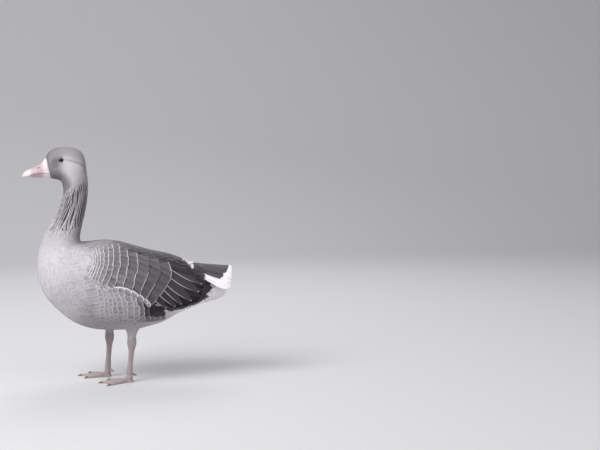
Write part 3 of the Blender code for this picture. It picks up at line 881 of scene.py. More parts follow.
def make_head_coat():
    coats = {
        name: Coat(name, "head_feathers", form, 11, contrast=0.3) for name in HEAD_TRACTS
    }
    for point in scatter(head_wanted, 12):
        place, angle, along = bird.find(point)
        coat = coats[next(name for name, widest in HEAD_TRACTS.items() if angle <= widest)]
        _, length, width = plumage(place, angle)
        level = head_look(point, place, angle) + coat.random.gauss(0, 3)
        lay_small(
            coat, point, HEAD_STYLE, along, length * HEAD_LONG, width * HEAD_NARROW,
            grey(level, 0.25), grey(level + 6, 0.2),
        )
    for coat in coats.values():
        coat.build()


NECK_RIDGES = 38
NECK_SLANT = 0.12       # how far round the neck its ridges turn from end to end
RIDGE_WAVE = 0.06       # how far they wave, in radians
RIDGE_STEP = 0.2        # sections that a ridge's direction is read over
NECK_STEP = 0.42        # distance between a ridge's feathers, as a share of a small feather's length


def neck_start(angle):
    """Where the neck's ridges begin: higher at the nape than at the throat."""
    return blend(AT["nape"], AT["crown"] + 0.7, ease(angle / math.pi))


def ridge_angle(base, share, phase):
    """Where a ridge is round the neck, at a share of its way down it."""
    wave = RIDGE_WAVE * math.sin(4 * share * math.pi + phase)
    return base + (NECK_SLANT * (0.5 - share) + wave) * math.sin(base)


def make_neck_coat():
    """Ridges of narrow, arched feathers down the neck, with dark furrows between them: painted shade on
    the feathers' side edges.
    """
    coat = Coat("plumage_neck", "neck_feathers", form, 21, contrast=0.3)
    last = AT["shoulder"] + 0.5
    for ridge in range(NECK_RIDGES):
        turn = (ridge + 0.5) / NECK_RIDGES * 2 * math.pi
        side = 1 if turn < math.pi else -1
        base = turn if side > 0 else 2 * math.pi - turn
        first = neck_start(base)
        place = first + coat.random.uniform(-0.15, 0.15)
        end = last + coat.random.uniform(-0.6, 0.1)
        phase = coat.random.uniform(0, 2 * math.pi)
        own = coat.random.gauss(0, 9)
        furrow_shade_width = coat.random.uniform(0.7, 1.3)
        while place < end:
            share = (place - first) / (last - first)
            angle = ridge_angle(base, share, phase)
            centre, out = bird.ray(place, angle, side)
            point, _ = form.below(centre, out)
            after = ridge_angle(base, (place + RIDGE_STEP - first) / (last - first), phase)
            following, _ = form.below(*bird.ray(place + RIDGE_STEP, after, side))
            if point is None or following is None:
                place += RIDGE_STEP
                continue
            level, length, _ = plumage(place, angle)
            width = 1.08 * 2 * math.pi * (point - centre).length / NECK_RIDGES
            merged = ramp(place, AT["neck_4"] - 0.4, AT["shoulder"])
            tone = blend(level + 13, level + 4, merged) + own * (1 - merged) + coat.random.gauss(0, 6)
            # grey of the side edges: painted shade of the furrows, fading where the ridges merge at the
            # shoulder
            dark = blend(level - 44, level - 4, merged)
            arch = min(blend(1, 0.15, merged), ramp(place, first - 0.2, first + 1.0) + 0.1)
            lay_small(
                coat, point, NECK_STYLE, following - point, length * 1.7, width, grey(tone, 0.2),
                grey(dark, 0.2), turn=blend(1, 5, merged), raise_by=blend(-0.3, -0.9, merged) * MM,
                arch=arch, fringe_share=furrow_shade_width,
            )
            pace = RIDGE_STEP / max((following - point).length, 1 * MM)
            place += clamp(NECK_STEP * length * pace, 0.08, 0.9)
    coat.build()


WING_MARGIN = 2.5 * MM   # nearer to the wing than this, no body feather grows
FLANK_MARGIN = 9 * MM    # below the wing, where the flank's rows begin
TAIL_MARGIN = 3 * MM     # nor nearer to the tail than this
SHOULDER = 0.13          # how far the back's feathers lap over the wing's top edge, in radians
SHOULDER_RISE = 1.1 * MM  # and how far they stand out there


def below_wing(point):
    """1 along the lower edge of the wing, where the flank's rows lie, 0 elsewhere."""
    x = point.x / MM
    return ramp(x, -112, -102) * ramp(x, 84, 74) * ramp(point.z, 300 * MM, 290 * MM)


def on_shoulder(point):
    """Whether a point is on the wing's top edge, which the back's feathers cover."""
    edges = [(top_x, top_angle) for top_x, top_angle, _, _ in WING_ROWS]
    turn = math.atan2(abs(point.y), point.z - AXIS_Z * MM)
    lap = SHOULDER * ramp(point.x, -70 * MM, 10 * MM)
    return turn < table_row(edges, point.x / MM)[0] + lap


def body_wanted(point, place, angle):
    if place < AT["neck_5"] - 0.2:
        return None
    margin = blend(WING_MARGIN, FLANK_MARGIN, below_wing(point))
    if wing_far(point) < margin and not on_shoulder(point):
        return None
    if tail_tree.find_nearest(point)[3] < TAIL_MARGIN * ramp(angle, 1.1, 0.5):
        return None
    _, length, width = plumage(place, angle)
    if thigh_share(point) > 0.6:
        return None
    return BODY_SPACING * math.sqrt(length * width)


BODY_TRACTS = {
    "plumage_breast": ("breast_feathers", lambda place, angle: place < AT["wing_root"]),
    "plumage_belly": ("breast_feathers", lambda place, angle: angle > 1.15),
    "plumage_back": ("flank_feathers", lambda place, angle: True),
}


def make_body_coats():
    coats = {}
    for seed, (name, (slot, _)) in enumerate(BODY_TRACTS.items()):
        surface = outer if name == "plumage_back" else form
        coats[name] = Coat(name, slot, surface, 31 + seed, contrast=0.35)
    for point in scatter(body_wanted, 41):
        place, angle, along = bird.find(point)
        name = next(n for n, (_, holds) in BODY_TRACTS.items() if holds(place, angle))
        coat = coats[name]
        level, length, width = plumage(place, angle)
        far = wing_far(point)
        # darkened just below the flight feathers: painted shadow of the folded wing
        level = blend(level, QUILL_SHADOW_GREY, quill_shadow(point, far))
        level += coat.random.gauss(0, 3)
        paler = blend(12, 4, ramp(angle, 0.8, 1.6))
        rise = SHOULDER_RISE if far < WING_MARGIN else 0.0
        rise = max(rise, back_rise(place, angle))
        lay_small(
            coat, point, SOFT_STYLE, along, length, width, grey(level, 0.1), grey(level + paler, 0.1),
            raise_by=rise,
        )
    for coat in coats.values():
        coat.build()


THIGH_APART = 0.42 * math.sqrt(14 * 8) * MM
THIGH_GREY = 178


def thigh_wanted(point, place, angle):
    return THIGH_APART if thigh_share(point) >= 0.3 else None


def make_thigh_coat():
    coat = Coat("plumage_thighs", "breast_feathers", leg_form, 51, contrast=0.3)
    for point in scatter(thigh_wanted, 52):
        share = thigh_share(point)
        place, angle, along = bird.find(point)
        level = blend(plumage(place, angle)[0], THIGH_GREY, share)
        down = ramp(point.z, 158 * MM, 136 * MM)
        direction = along.lerp(Vector((0.12, 0, -1)), down)
        length = blend(20, 13, ramp(point.z, 150 * MM, 125 * MM)) * MM
        lay_small(
            coat, point, THIGH_STYLE, direction, length, length * 0.55, grey(level, 0.2),
            grey(level + 6, 0.2),
        )
    coat.build()


# --- The folded wings

# Ribs across the wing from front to tip: top (x, z), bottom (x, z).
WING_RIBS = [
    (-111, 343, -119, 304), (-90, 359, -104, 284), (-56, 364, -78, 267), (-22, 362, -42, 256),
    (16, 351, -6, 243), (58, 333, 22, 229), (96, 316, 46, 215), (126, 302, 80, 201),
    (152, 287, 118, 194), (173, 270, 150, 197), (189, 252, 177, 214),
]
AXIS_Z = 252


def axis_angle(x, z):
    """Angle round the body's long axis, from the back, of its surface at (x, z) seen from the side."""
    point, _ = form.below(Vector((x, 400, z)) * MM, Vector((0, -1, 0)))
    return math.atan2(point.y, point.z - AXIS_Z * MM)


WING_ROWS = [
    (top_x, axis_angle(top_x, top_z), bottom_x, axis_angle(bottom_x, bottom_z))
    for top_x, top_z, bottom_x, bottom_z in WING_RIBS
]


WING_ARC = (9, 22)       # how far the middle of a rib bows back, at the wing's front and farther along


def wing_point(along, across, side):
    """A point of the folded wing's surface: along it from the front, across it from its top."""
    top_x, top_angle, bottom_x, bottom_angle = smooth_row(WING_ROWS, along)
    arc = blend(*WING_ARC, ramp(along, 3.5, 6)) * math.sin(math.pi * clamp(across))
    x = (blend(top_x, bottom_x, across) + arc) * MM
    angle = blend(top_angle, bottom_angle, across)
    out = Vector((0, side * math.sin(angle), math.cos(angle)))
    point, _ = form.below(Vector((x, 0, AXIS_Z * MM)) + out * 300 * MM, -out)
    return point


COVERT_STYLE = Style(2.6, lift=0.6, crown=0.02, corner=0.03, tip=0.98, base=0.6, fringe=0.2,
                     along=(0, 0.3, 0.6, 0.8, 0.92, 1))
GREAT_STYLE = Style(3.0, lift=0.8, crown=0.02, corner=0.05, tip=0.94, base=0.7, fringe=0.3,
                    along=(0, 0.2, 0.4, 0.6, 0.75, 0.87, 0.95, 1), across=(0.45, 0.8))
TIP_BAND = 2.2          # width of the pale ends of the coverts
# Rows of coverts: where their tips lie along the wing, length, width in millimetres, grey of the vane,
# grey of the edge, and where across the wing its pale edge begins.
COVERT_ROWS = [
    (0.35, 16, 13, 170, 206, 0), (0.65, 18, 14, 162, 206, 0), (0.95, 20, 15, 155, 208, 0),
    (1.22, 22, 16, 148, 208, 0), (1.52, 25, 17, 141, 208, 0), (1.87, 28, 18, 134, 206, 0),
    (2.27, 31, 20, 127, 204, 0), (2.75, 34, 21, 120, 200, 0), (3.3, 38, 22, 113, 198, 0),
    (3.95, 42, 24, 106, 192, 0.1), (4.6, 46, 26, 100, 180, 0.5),
]
GREAT_ROWS = [(5.3, 50, 30, 93, 176, 0.72), (6.1, 60, 30, 88, 180, 0)]


def skew_along(spine, row_line):
    """The skew that turns a feather's end to lie along the line of its row's tips."""
    (before, _), (end, normal) = spine[-2:]
    tangent = (end - before).normalized()
    across = normal.cross(tangent)
    return clamp(row_line.dot(tangent) / row_line.dot(across), -0.9, 0.9)


def make_coverts(side_name):
    side = SIDES[side_name]
    coat = Coat(f"coverts_{side_name}", "wing_coverts", form, 61, contrast=1.4)
    for style, rows in ((COVERT_STYLE, COVERT_ROWS), (GREAT_STYLE, GREAT_ROWS)):
        for row, sizes in enumerate(rows):
            lay_wing_row(coat, side, row, *sizes, style)
    coat.build()


def lay_wing_row(coat, side, row, tips, length, width, level, edge, pale_from, style):
    """A row of feathers side by side across the wing, their tips in one line."""
    line = [wing_point(tips, k / 10, side) for k in range(11)]
    depth = sum((b - a).length for a, b in zip(line, line[1:]))
    count = max(int(round(depth / (width * MM * 0.72))), 2)
    first = 0.06 if style is GREAT_STYLE else -0.06
    for k in range(-1, count + 1):
        across = (k + 0.5 + 0.25 * (row % 2)) / count
        across += coat.random.uniform(-0.1, 0.1) / count
        if not first < across < 1.04:
            continue
        tip_along = tips + coat.random.uniform(-0.03, 0.03)
        tip = wing_point(tip_along, across, side)
        pace = (wing_point(tips - 0.1, across, side) - tip).length / 0.1
        back = length * MM / max(pace, 1 * MM)
        points = [
            wing_point(max(tip_along - back * (1 - t), -0.4), across - 0.05 * (1 - t), side)
            for t in (0, 0.33, 0.67, 1)
        ]
        spine = coat.line(points, style.along)
        row_line = wing_point(tips, across + 0.04, side) - wing_point(tips, across - 0.04, side)
        tone = level + coat.random.gauss(0, 4)
        pale = blend(tone + 8, edge, ramp(across, pale_from - 0.1, pale_from + 0.1))
        coat.lay(
            spine, length * MM, width * MM, style, grey(tone, 0.2), grey(pale + coat.random.gauss(0, 5)),
            roll=0.25 * side * MM, raise_by=0.7 * MM, tip=TIP_BAND / length,
            skew=skew_along(spine, row_line),
        )


# Secondaries and tertials from the lowest up: root (x, z), tip (x, z), width.
QUILLS = [
    ((36, 252), (88, 201), 20), ((48, 270), (112, 202), 22), ((60, 284), (130, 206), 22),
    ((66, 292), (158, 213), 26), ((80, 302), (178, 236), 28), ((90, 314), (186, 256), 26),
]
PRIMARIES = [
    ((96, 262), (186, 222), 20), ((100, 272), (194, 236), 20), ((104, 282), (200, 250), 20),
    ((108, 292), (204, 264), 20),
]
QUILL_STYLE = Style(3.4, lift=0.5, crown=0.02, corner=0.14, tip=0.42, base=0.75, widest=0.5, fringe=1.7,
                    along=(0, 0.15, 0.3, 0.45, 0.6, 0.75, 0.87, 0.95, 1), across=(0.5, 0.85), stiff=True,
                    edges="one")
QUILL_LAYER = 0.22      # each feather lies this much above the one before, in millimetres
QUILL_GREYS = (62, 3)   # grey of the lowest, and how much paler each next one is
QUILL_EDGE = 226
PRIMARY_GREY = 46
PRIMARY_EDGE = 90


def side_point(x, z, side):
    """The surface at (x, z) seen from the side."""
    ray = Vector((0, -side, 0))
    point, _ = form.below(Vector((x * MM, side * 400 * MM, z * MM)), ray)
    if point is None:
        point, _ = form.near(Vector((x, side * 40, z)) * MM)
    return point


def make_flight(side_name):
    side = SIDES[side_name]
    coat = Coat(f"flight_feathers_{side_name}", "flight_feathers", outer, 71)
    for layer, (root, tip, width) in enumerate(PRIMARIES + QUILLS):
        start = side_point(*root, side)
        end = side_point(*tip, side)
        middle = side_point((root[0] + tip[0]) / 2, (root[1] + tip[1]) / 2 + 2, side)
        spine = coat.line([start, middle, end], QUILL_STYLE.along)
        layer -= len(PRIMARIES)
        primary = layer < 0
        level = PRIMARY_GREY if primary else QUILL_GREYS[0] + QUILL_GREYS[1] * layer
        coat.lay(
            spine, (end - start).length, width * MM, QUILL_STYLE, grey(level),
            grey(PRIMARY_EDGE if primary else QUILL_EDGE), raise_by=(QUILL_LAYER * layer + 0.1) * MM,
            roll=0.8 * side * MM, fringe_share=0.5 if primary else 1.0, edge_side=side,
        )
    coat.build()


# --- Flanks: rows of feathers below the wing, whose pale tips make bars

FLANK_SWEEP = 17         # how far a row's line of tips sweeps back in all
FLANK_TURN = 20          # and how far below the wing it has done most of it
# Rows: x of the tips at the wing's edge, lowest level, length, width, grey of the vane, grey of the
# edge.
# The rear rows, from x 25, are near black with dark edges: partly the flank's own darker feathers, partly
# painted shade under the wing's tip.
FLANK_ROWS = [
    (-106, 178, 34, 16, 184, 197),
    (-95, 174, 36, 17, 177, 201), (-84, 171, 37, 17, 172, 202), (-72, 169, 38, 18, 168, 203),
    (-60, 168, 39, 18, 164, 204), (-47, 168, 40, 19, 160, 204), (-33, 168, 41, 19, 161, 206),
    (-18, 168, 43, 20, 164, 208), (-3, 168, 46, 21, 158, 208), (11, 170, 46, 22, 118, 196),
    (25, 172, 46, 22, 50, 116), (42, 168, 44, 22, 28, 44), (58, 168, 44, 22, 26, 42),
    (74, 170, 40, 22, 26, 42),
]
FLANK_STYLE = Style(2.2, lift=0.2, crown=0.02, corner=0.1, tip=0.95, base=0.5, fringe=0.3, soft=0.75)
FLANK_BAND = 2.4         # width of the pale ends
# The flank's white upper edge, over the wing's: its line as (x, z), and its feathers.
WHITE_LINE = [(-78, 261), (-54, 264), (-28, 263), (3, 249), (30, 230), (43, 214)]
WHITE_LENGTH = 34
WHITE_WIDTH = 13
WHITE_STYLE = Style(2.0, lift=0.3, crown=0.05, corner=0.12, tip=0.6, base=0.6, widest=0.55, fringe=3.2,
                    edges="one")


def flank_top(x):
    """Level of the wing's lower edge at x, which the flank's upper feathers lap over."""
    rows = [(bottom_x, bottom_z) for _, _, bottom_x, bottom_z in WING_RIBS]
    for (ax, az), (bx, bz) in zip(rows, rows[1:]):
        if ax <= x <= bx:
            return blend(az, bz, (x - ax) / (bx - ax))
    return rows[0][1] if x < rows[0][0] else rows[-1][1]


def flank_line(x, drop):
    """Where a row's line of tips is when it has dropped so far below the wing's edge."""
    return x + FLANK_SWEEP * (1 - math.exp(-drop / FLANK_TURN)) + 0.08 * drop


def make_flank(side_name):
    side = SIDES[side_name]
    coat = Coat(f"flank_{side_name}", "flank_feathers", form, 81, contrast=1.3)
    for row, (x, lowest, length, width, level, edge) in enumerate(FLANK_ROWS):
        top = flank_top(x) + 3
        z = top - (width * 0.3 if row % 2 else 0)
        while z > lowest:
            tip_x = flank_line(x, top - z) + coat.random.uniform(-2.6, 2.6)
            tip = side_point(tip_x, z, side)
            root = side_point(tip_x - length * 0.95, z - length * 0.1, side)
            middle = side_point(tip_x - length * 0.5, z - length * 0.08, side)
            spine = coat.line([root, middle, tip], FLANK_STYLE.along)
            row_line = side_point(flank_line(x, top - z + 6), z - 6, side)
            row_line -= side_point(flank_line(x, top - z), z, side)
            # down low the vanes blend towards grey 152 and the edges towards 170, dimming the pale bars:
            # painted shade on the underside
            low = ramp(z, lowest + 25, lowest)
            tone = blend(level, 152, low * 0.7) + coat.random.gauss(0, 4)
            coat.lay(
                spine, length * MM, width * MM, FLANK_STYLE, grey(tone, 0.1),
                grey(blend(edge, 170, low)), raise_by=(0.8 if edge > 100 else 1.1) * MM,
                tip=FLANK_BAND / length,
                skew=skew_along(spine, row_line),
            )
            z -= width * 0.62
    lay_white_line(coat, side)
    coat.build()


def lay_white_line(coat, side):
    """The flank's uppermost feathers, whose upper edges make one white line along the wing."""
    lengths = [math.dist(a, b) for a, b in zip(WHITE_LINE, WHITE_LINE[1:])]
    count = int(sum(lengths) / (WHITE_LENGTH * 0.42))

    def line_point(share):
        x, z = smooth_row(WHITE_LINE, clamp(share) * (len(WHITE_LINE) - 1))
        return side_point(x, z - WHITE_WIDTH / 2, side)

    for k in range(count):
        tip_share = (k + 1) / count
        root_share = tip_share - WHITE_LENGTH / sum(lengths)
        points = [line_point(blend(root_share, tip_share, t)) for t in (0, 0.5, 1)]
        spine = coat.line(points, WHITE_STYLE.along)
        fade = ramp(k / count, 0.0, 0.35)
        coat.lay(
            spine, WHITE_LENGTH * MM, WHITE_WIDTH * MM, WHITE_STYLE, grey(blend(186, 160, fade)),
            grey(blend(196, 238, fade)), raise_by=(1.5 + 0.05 * k) * MM, edge_side=-side,
            fringe_share=blend(0.5, 1.0, fade),
        )


# --- The tail

# The dome of the tail: x, level of its ridge, half width, droop of its edge.
TAIL_ROWS = [(150, 312, 30, 16), (186, 308.5, 49, 41), (212, 305, 56, 52), (238, 302, 61, 60),
             (258, 300, 63, 64), (274, 299, 53, 50)]
TAIL_FEATHERS = 9        # on each side
TAIL_STYLE = Style(2.0, lift=0.2, crown=0.04, corner=0.05, tip=0.72, base=0.7, widest=0.7, fringe=0.3,
                   along=(0, 0.15, 0.3, 0.45, 0.6, 0.72, 0.8, 0.9, 0.96, 1), across=(0.5, 0.85),
                   stiff=True)


TAIL_WIDTH = 20 * MM     # of one feather
TAIL_GREY = 72
TAIL_WHITE = 232         # of the two outermost on each side
TAIL_TIPS = 236


def tail_point(share, across):
    """On the tail's dome: a share of the way along it, and across it from -1 to 1."""
    x, ridge, half, droop = smooth_row(TAIL_ROWS, share * (len(TAIL_ROWS) - 1))
    return Vector((x - 8 * across * across * share, half * across, ridge - droop * across**2)) * MM


def make_tail():
    coat = Coat("tail_feathers", "tail_feathers", outer, 91)
    order = sorted(range(-TAIL_FEATHERS, TAIL_FEATHERS + 1), key=lambda k: -abs(k))
    for k in order:
        across = k / (TAIL_FEATHERS + 0.3) * 0.96
        shares = (0, 0.35, 0.7, 1.0)
        points = [tail_point(share, across * blend(0.8, 1, share)) for share in shares]
        spine = coat.line(points, TAIL_STYLE.along)
        length = sum((b - a).length for a, b in zip(points, points[1:]))
        white = abs(k) >= TAIL_FEATHERS - 1
        tip = blend(0.1, 0.55, (abs(k) / TAIL_FEATHERS) ** 1.6)
        tint = grey(TAIL_WHITE if white else TAIL_GREY)
        coat.lay(
            spine, length, TAIL_WIDTH, TAIL_STYLE, tint, grey(TAIL_TIPS),
            raise_by=(-1.6 + 0.22 * (TAIL_FEATHERS - abs(k))) * MM, tip=tip,
        )
    coat.build("tail")


# Rows of coverts over the tail's root: x of the tips, length, width, grey on the ridge and at the side,
# how far the tips stand out, and between which shares of the way down from the ridge the row begins
# and its ridge's grey ends.
TAIL_COVERTS = [
    (201, 37, 17, 62, 60, 0.2, 0.5, 1), (186, 32, 17, 66, 64, 0.6, 0.36, 1),
    (169, 28, 17, 232, 68, 1.6, 0, 0.92), (160, 28, 17, 236, 72, 2.6, 0, 0.9),
    (151, 27, 17, 238, 74, 3.6, 0, 0.86), (143, 26, 17, 238, 76, 4.2, 0, 0.76),
    (136, 25, 16, 214, 78, 3.8, 0, 0.6), (128, 25, 16, 84, 80, 1.8, 0, 1),
]
RUMP_ROW = (124, 324, 26, 12)


def dome_point(x, across):
    """On the tail's dome, or on the rump ahead of it, at x in millimetres."""
    ridge, half, droop = table_row([RUMP_ROW, *TAIL_ROWS], x)
    return Vector((x, half * across, ridge - droop * across**2)) * MM


def make_tail_coverts():
    """Rounded feathers over the root of the tail: a white band on its ridge, dark at its sides."""
    coat = Coat("tail_coverts", "white_feathers", outer, 95, contrast=0.5)
    for row, (x, length, width, ridge_level, side_level, out, first, pale) in enumerate(TAIL_COVERTS):
        style = Style(1.6, lift=out, crown=0.08, corner=0.3, tip=0.75, fringe=0.8, across=(0.5, 0.84),
                      soft=0.5)
        count = 12 + row % 2
        for k in sorted(range(count), key=lambda k: -abs(k - (count - 1) / 2)):
            across = (2 * (k + 0.5) / count - 1) * 1.12
            if abs(across) < first:
                continue
            tip_x = x - 6 * across**2 + coat.random.uniform(-1.5, 1.5)
            tip = outer.near(dome_point(tip_x, across))[0]
            root = outer.near(dome_point(tip_x - length, across * 0.88))[0]
            spine = coat.line([root, root.lerp(tip, 0.5), tip], style.along)
            level = blend(ridge_level, side_level, ramp(abs(across), pale - 0.1, pale))
            level += coat.random.gauss(0, 4)
            coat.lay(
                spine, length * MM, width * MM, style, grey(level), grey(level + 8),
                raise_by=0.3 * MM,
            )
    coat.build()


# --- Eyes and lids

def rgb(red, green, blue):
    return (linear(red), linear(green), linear(blue), 1)


LID_OPEN = (5.4, 2.8)      # half length and half height of the opening between the lids
LID_AROUND = 48
LID_TILT = math.radians(6)
# The lid's section, from its edge outwards and back underneath: how many times the opening's size, and
# height over the eye in millimetres, or None where it meets the head.
LID_ROWS = [(0.96, -0.3), (0.98, 0.4), (1.05, 0.6), (1.13, 0.5), (1.22, 0.35), (1.3, 0.25),
            (1.38, 0.2), (1.5, None)]
# Its greys, and those of the two rows that close it underneath.
LID_GREYS = [34, 44, 60, 84, 108, 128, 138, 146, 60, 60]


def lid_point(turn, size):
    """A point beside the eye, at an angle round the middle of its opening, in the plane of the face."""
    along = LID_OPEN[0] * size * math.cos(turn)
    rise = LID_OPEN[1] * blend(1.0, 1.85, ramp(size, 1.05, 1.45)) * size
    rise *= math.copysign(abs(math.sin(turn)) ** 1.15, math.sin(turn))
    return Vector((
        along * math.cos(LID_TILT) + rise * math.sin(LID_TILT),
        0,
        rise * math.cos(LID_TILT) - along * math.sin(LID_TILT),
    )) * MM


def make_lids(skin):
    """Joins a ring of bare skin round each eye to the skin."""
    bm = bmesh.new()
    bm.from_mesh(skin.data)
    tint = bm.verts.layers.float_color["tint"]
    for side in SIDES.values():
        centre = Vector((EYE_CENTRE.x, side * EYE_CENTRE.y, EYE_CENTRE.z))
        rows = []
        for size, height in LID_ROWS:
            row = []
            for k in range(LID_AROUND):
                flat = lid_point(2 * math.pi * k / LID_AROUND, size)
                if height is None:
                    place, normal = form.near(centre + flat + Vector((0, side * 5, 0)) * MM)
                    point = place - normal * 1.2 * MM
                else:
                    radius = EYE_RADIUS + height * MM
                    out = math.sqrt(max(radius**2 - flat.length_squared, (1.5 * MM) ** 2))
                    point = centre + flat + Vector((0, side * out, 0))
                row.append(point)
            rows.append(row)
        rows.append([point.lerp(centre, 0.45) for point in rows[-1]])
        rows.append([point.lerp(centre, 0.3) for point in rows[0]])
        verts = [[bm.verts.new(point) for point in row] for row in rows]
        for row, colour in zip(verts, LID_GREYS):
            for vertex in row:
                vertex[tint] = (*grey(colour, 0.6), 1)
        for a, b in zip(verts, verts[1:] + verts[:1]):
            for k in range(LID_AROUND):
                after = (k + 1) % LID_AROUND
                face = [a[k], a[after], b[after], b[k]]
                bm.faces.new(face if side > 0 else face[::-1]).smooth = True
    bm.to_mesh(skin.data)
    bm.free()


def eye_material(name, centre):
    graph = Graph(name)
    x, _, z = graph.split(graph.place())
    from_x = graph.math("SUBTRACT", x, centre.x)
    from_z = graph.math("SUBTRACT", z, centre.z)
    squares = [graph.math("POWER", off, 2.0) for off in (from_x, from_z)]
    away = graph.math("SQRT", graph.math("ADD", *squares))
    fibres = graph.noise(900.0, 3.0)
    iris = graph.mix(fibres, rgb(48, 32, 24), rgb(30, 20, 16))
    colour = graph.mix(graph.steps(away, 4.3 * MM, 4.9 * MM), iris, rgb(26, 20, 18))
    colour = graph.mix(graph.steps(away, 2.7 * MM, 2.4 * MM), colour, rgb(5, 4, 4))
    return graph.finish(colour, 0.05, specular=0.35, coat=0.25)


def make_eye(side_name):
    side = SIDES[side_name]
    centre = Vector((EYE_CENTRE.x, side * EYE_CENTRE.y, EYE_CENTRE.z))
    bm = bmesh.new()
    bmesh.ops.create_uvsphere(bm, u_segments=40, v_segments=28, radius=EYE_RADIUS - 0.1 * MM)
    turn = Matrix.Rotation(math.radians(-90 * side), 4, "X")
    bmesh.ops.transform(bm, matrix=Matrix.Translation(centre) @ turn, verts=bm.verts)
    mesh = made_mesh(bm, f"eyeball_{side_name}")
    mesh.shade_smooth()
    look = eye_material(f"eye_{side_name}_look", centre)
    finish_piece(f"eyeball_{side_name}", mesh, "eye", look, f"eye_{side_name}")


def lapped_piece(node, voxel, smoothing, swell, facing, reach, lap, slot, look):
    """A smooth piece for a node, whose face towards the body goes into what carries it."""
    mesh = soft_form(node + "_horn", [node], voxel, smoothing, swell=swell)
    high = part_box(node)[1]
    for vertex, normal in turned_vertices(mesh):
        if normal.x > facing and vertex.co.x > high.x - reach:
            vertex.co.x += lap
    finish_piece(node + "_horn", mesh, slot, look, node)


# --- The bill

TOOTH_PITCH = 2.3 * MM
TOOTH_DEPTH = 0.35 * MM
BILL_ROOT = 4 * MM        # how far the bill goes into the head
NAIL_LAP = 1.5 * MM       # and the nail and the bill into each other


def bill_material():
    """Pale flesh pink, whiter at its base and towards the nail, and greyer along its upper ridge ahead of
    the base as painted shade.
    """
    graph = Graph("bill_horn")
    x, _, z = graph.split(graph.place())
    mottle = graph.noise(120.0, 4.0)
    pink = graph.mix(mottle, rgb(196, 178, 184), rgb(180, 156, 163))
    low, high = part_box("bill_upper")
    base = graph.steps(x, high.x - 22 * MM, high.x - 8 * MM)
    colour = graph.mix(base, pink, rgb(228, 214, 216))
    tip = graph.steps(x, low.x + 14 * MM, low.x + 2 * MM)
    colour = graph.mix(tip, colour, rgb(222, 208, 208))
    # painted shade: the upper ridge turns greyer from 10 to 26 mm ahead of the base onward
    ridge = graph.steps(z, 562 * MM, 574 * MM)
    ridge_painted_shade = graph.math("MULTIPLY", ridge, graph.steps(x, high.x - 10 * MM, high.x - 26 * MM))
    colour = graph.mix(graph.math("MULTIPLY", ridge_painted_shade, 0.35), colour, rgb(176, 146, 150))
    scratches = graph.noise(900.0, 3.0)
    graph.bump(graph.math("ADD", scratches, graph.math("MULTIPLY", mottle, 2.0)), 0.12 * MM, 0.5)
    return graph.finish(colour, 0.42, specular=0.4)


def nail_material():
    graph = Graph("bill_nail_horn")
    streak = graph.noise(260.0, 3.0)
    colour = graph.mix(streak, rgb(224, 214, 212), rgb(206, 194, 192))
    graph.bump(streak, 0.15 * MM, 0.5)
    return graph.finish(colour, 0.35, specular=0.45)


def make_bill():
    horn = bill_material()
    for node, edge_up in (("bill_upper", False), ("bill_lower", True)):
        mesh = soft_form(node + "_horn", [node], 0.6 * MM, 14, swell=0.25 * MM)
        low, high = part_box(node)
        for vertex, normal in turned_vertices(mesh):
            point = vertex.co
            if normal.x > 0.75 and point.x > high.x - 12 * MM:
                vertex.co = point + Vector((BILL_ROOT, 0, 0))
                continue
            if normal.x < -0.75 and point.x < low.x + NAIL_LAP and node == "bill_upper":
                vertex.co = point - Vector((NAIL_LAP, 0, 0))
                continue
            level = (point.z - low.z) if not edge_up else (high.z - point.z)
            near_edge = ramp(level, 7 * MM, 2.5 * MM) * ramp(abs(point.y), 5 * MM, 10 * MM)
            near_edge *= ramp(point.x, high.x - 10 * MM, high.x - 18 * MM)
            tooth = 0.5 + 0.5 * math.sin(2 * math.pi * point.x / TOOTH_PITCH)
            vertex.co = point - normal * TOOTH_DEPTH * tooth * near_edge
        finish_piece(node + "_horn", mesh, "bill_skin", horn, node)
    lapped_piece(
        "bill_nail", 0.5 * MM, 8, 0.3 * MM, 0.6, 4 * MM, NAIL_LAP, "bill_nail", nail_material()
    )


# --- Legs and claws

SCALE_SIZE = 3.0 * MM
RING_PITCH = 3.6 * MM     # of the rings down the front of the shank
RING_DEPTH = 0.22         # in millimetres
CLAW_LAP = 2.5 * MM       # how far a claw goes into its toe


def leg_material():
    graph = Graph("leg_scales")
    height = graph.split(graph.place())["Z"]
    blotch = graph.noise(60.0, 4.0)
    colour = graph.mix(blotch, rgb(180, 169, 170), rgb(156, 145, 147))
    rims = graph.cell_rims(SCALE_SIZE)
    colour = graph.mix(graph.steps(rims, 0.12, 0.0, 0.0, 0.45), colour, rgb(120, 98, 96))
    web = graph.steps(height, 7 * MM, 3 * MM)
    colour = graph.mix(graph.math("MULTIPLY", web, 0.35), colour, rgb(176, 156, 153))
    grain = graph.noise(1500.0, 2.0)
    graph.bump(graph.math("ADD", graph.steps(rims, 0.0, 0.2), grain), 0.25 * MM, 0.5)
    return graph.finish(colour, 0.55, specular=0.35)


def make_leg(side_name, scales, horn):
    nodes = [f"{stem}_{side_name}" for stem in ("shank", "foot", "hind_toe")]
    mesh = soft_form(f"leg_{side_name}", nodes, 1.1 * MM, 4, swell=0.35 * MM)
    for vertex, normal in turned_vertices(mesh):
        point = vertex.co
        if point.z > 1.5 * MM:
            ring = math.sin(2 * math.pi * point.z / RING_PITCH)
            front = ramp(normal.x, -0.3, -0.8) * ramp(point.z, 22 * MM, 30 * MM)
            vertex.co = point + normal * RING_DEPTH * MM * ring * front
        vertex.co.z = max(vertex.co.z, 0.0)
    finish_piece(f"leg_{side_name}", mesh, "leg_skin", scales, *nodes)
    for toe in ("inner", "middle", "outer"):
        claw = f"claw_{toe}_{side_name}"
        lapped_piece(claw, 0.4 * MM, 3, 0.25 * MM, 0.5, CLAW_LAP, CLAW_LAP, "claw", horn)


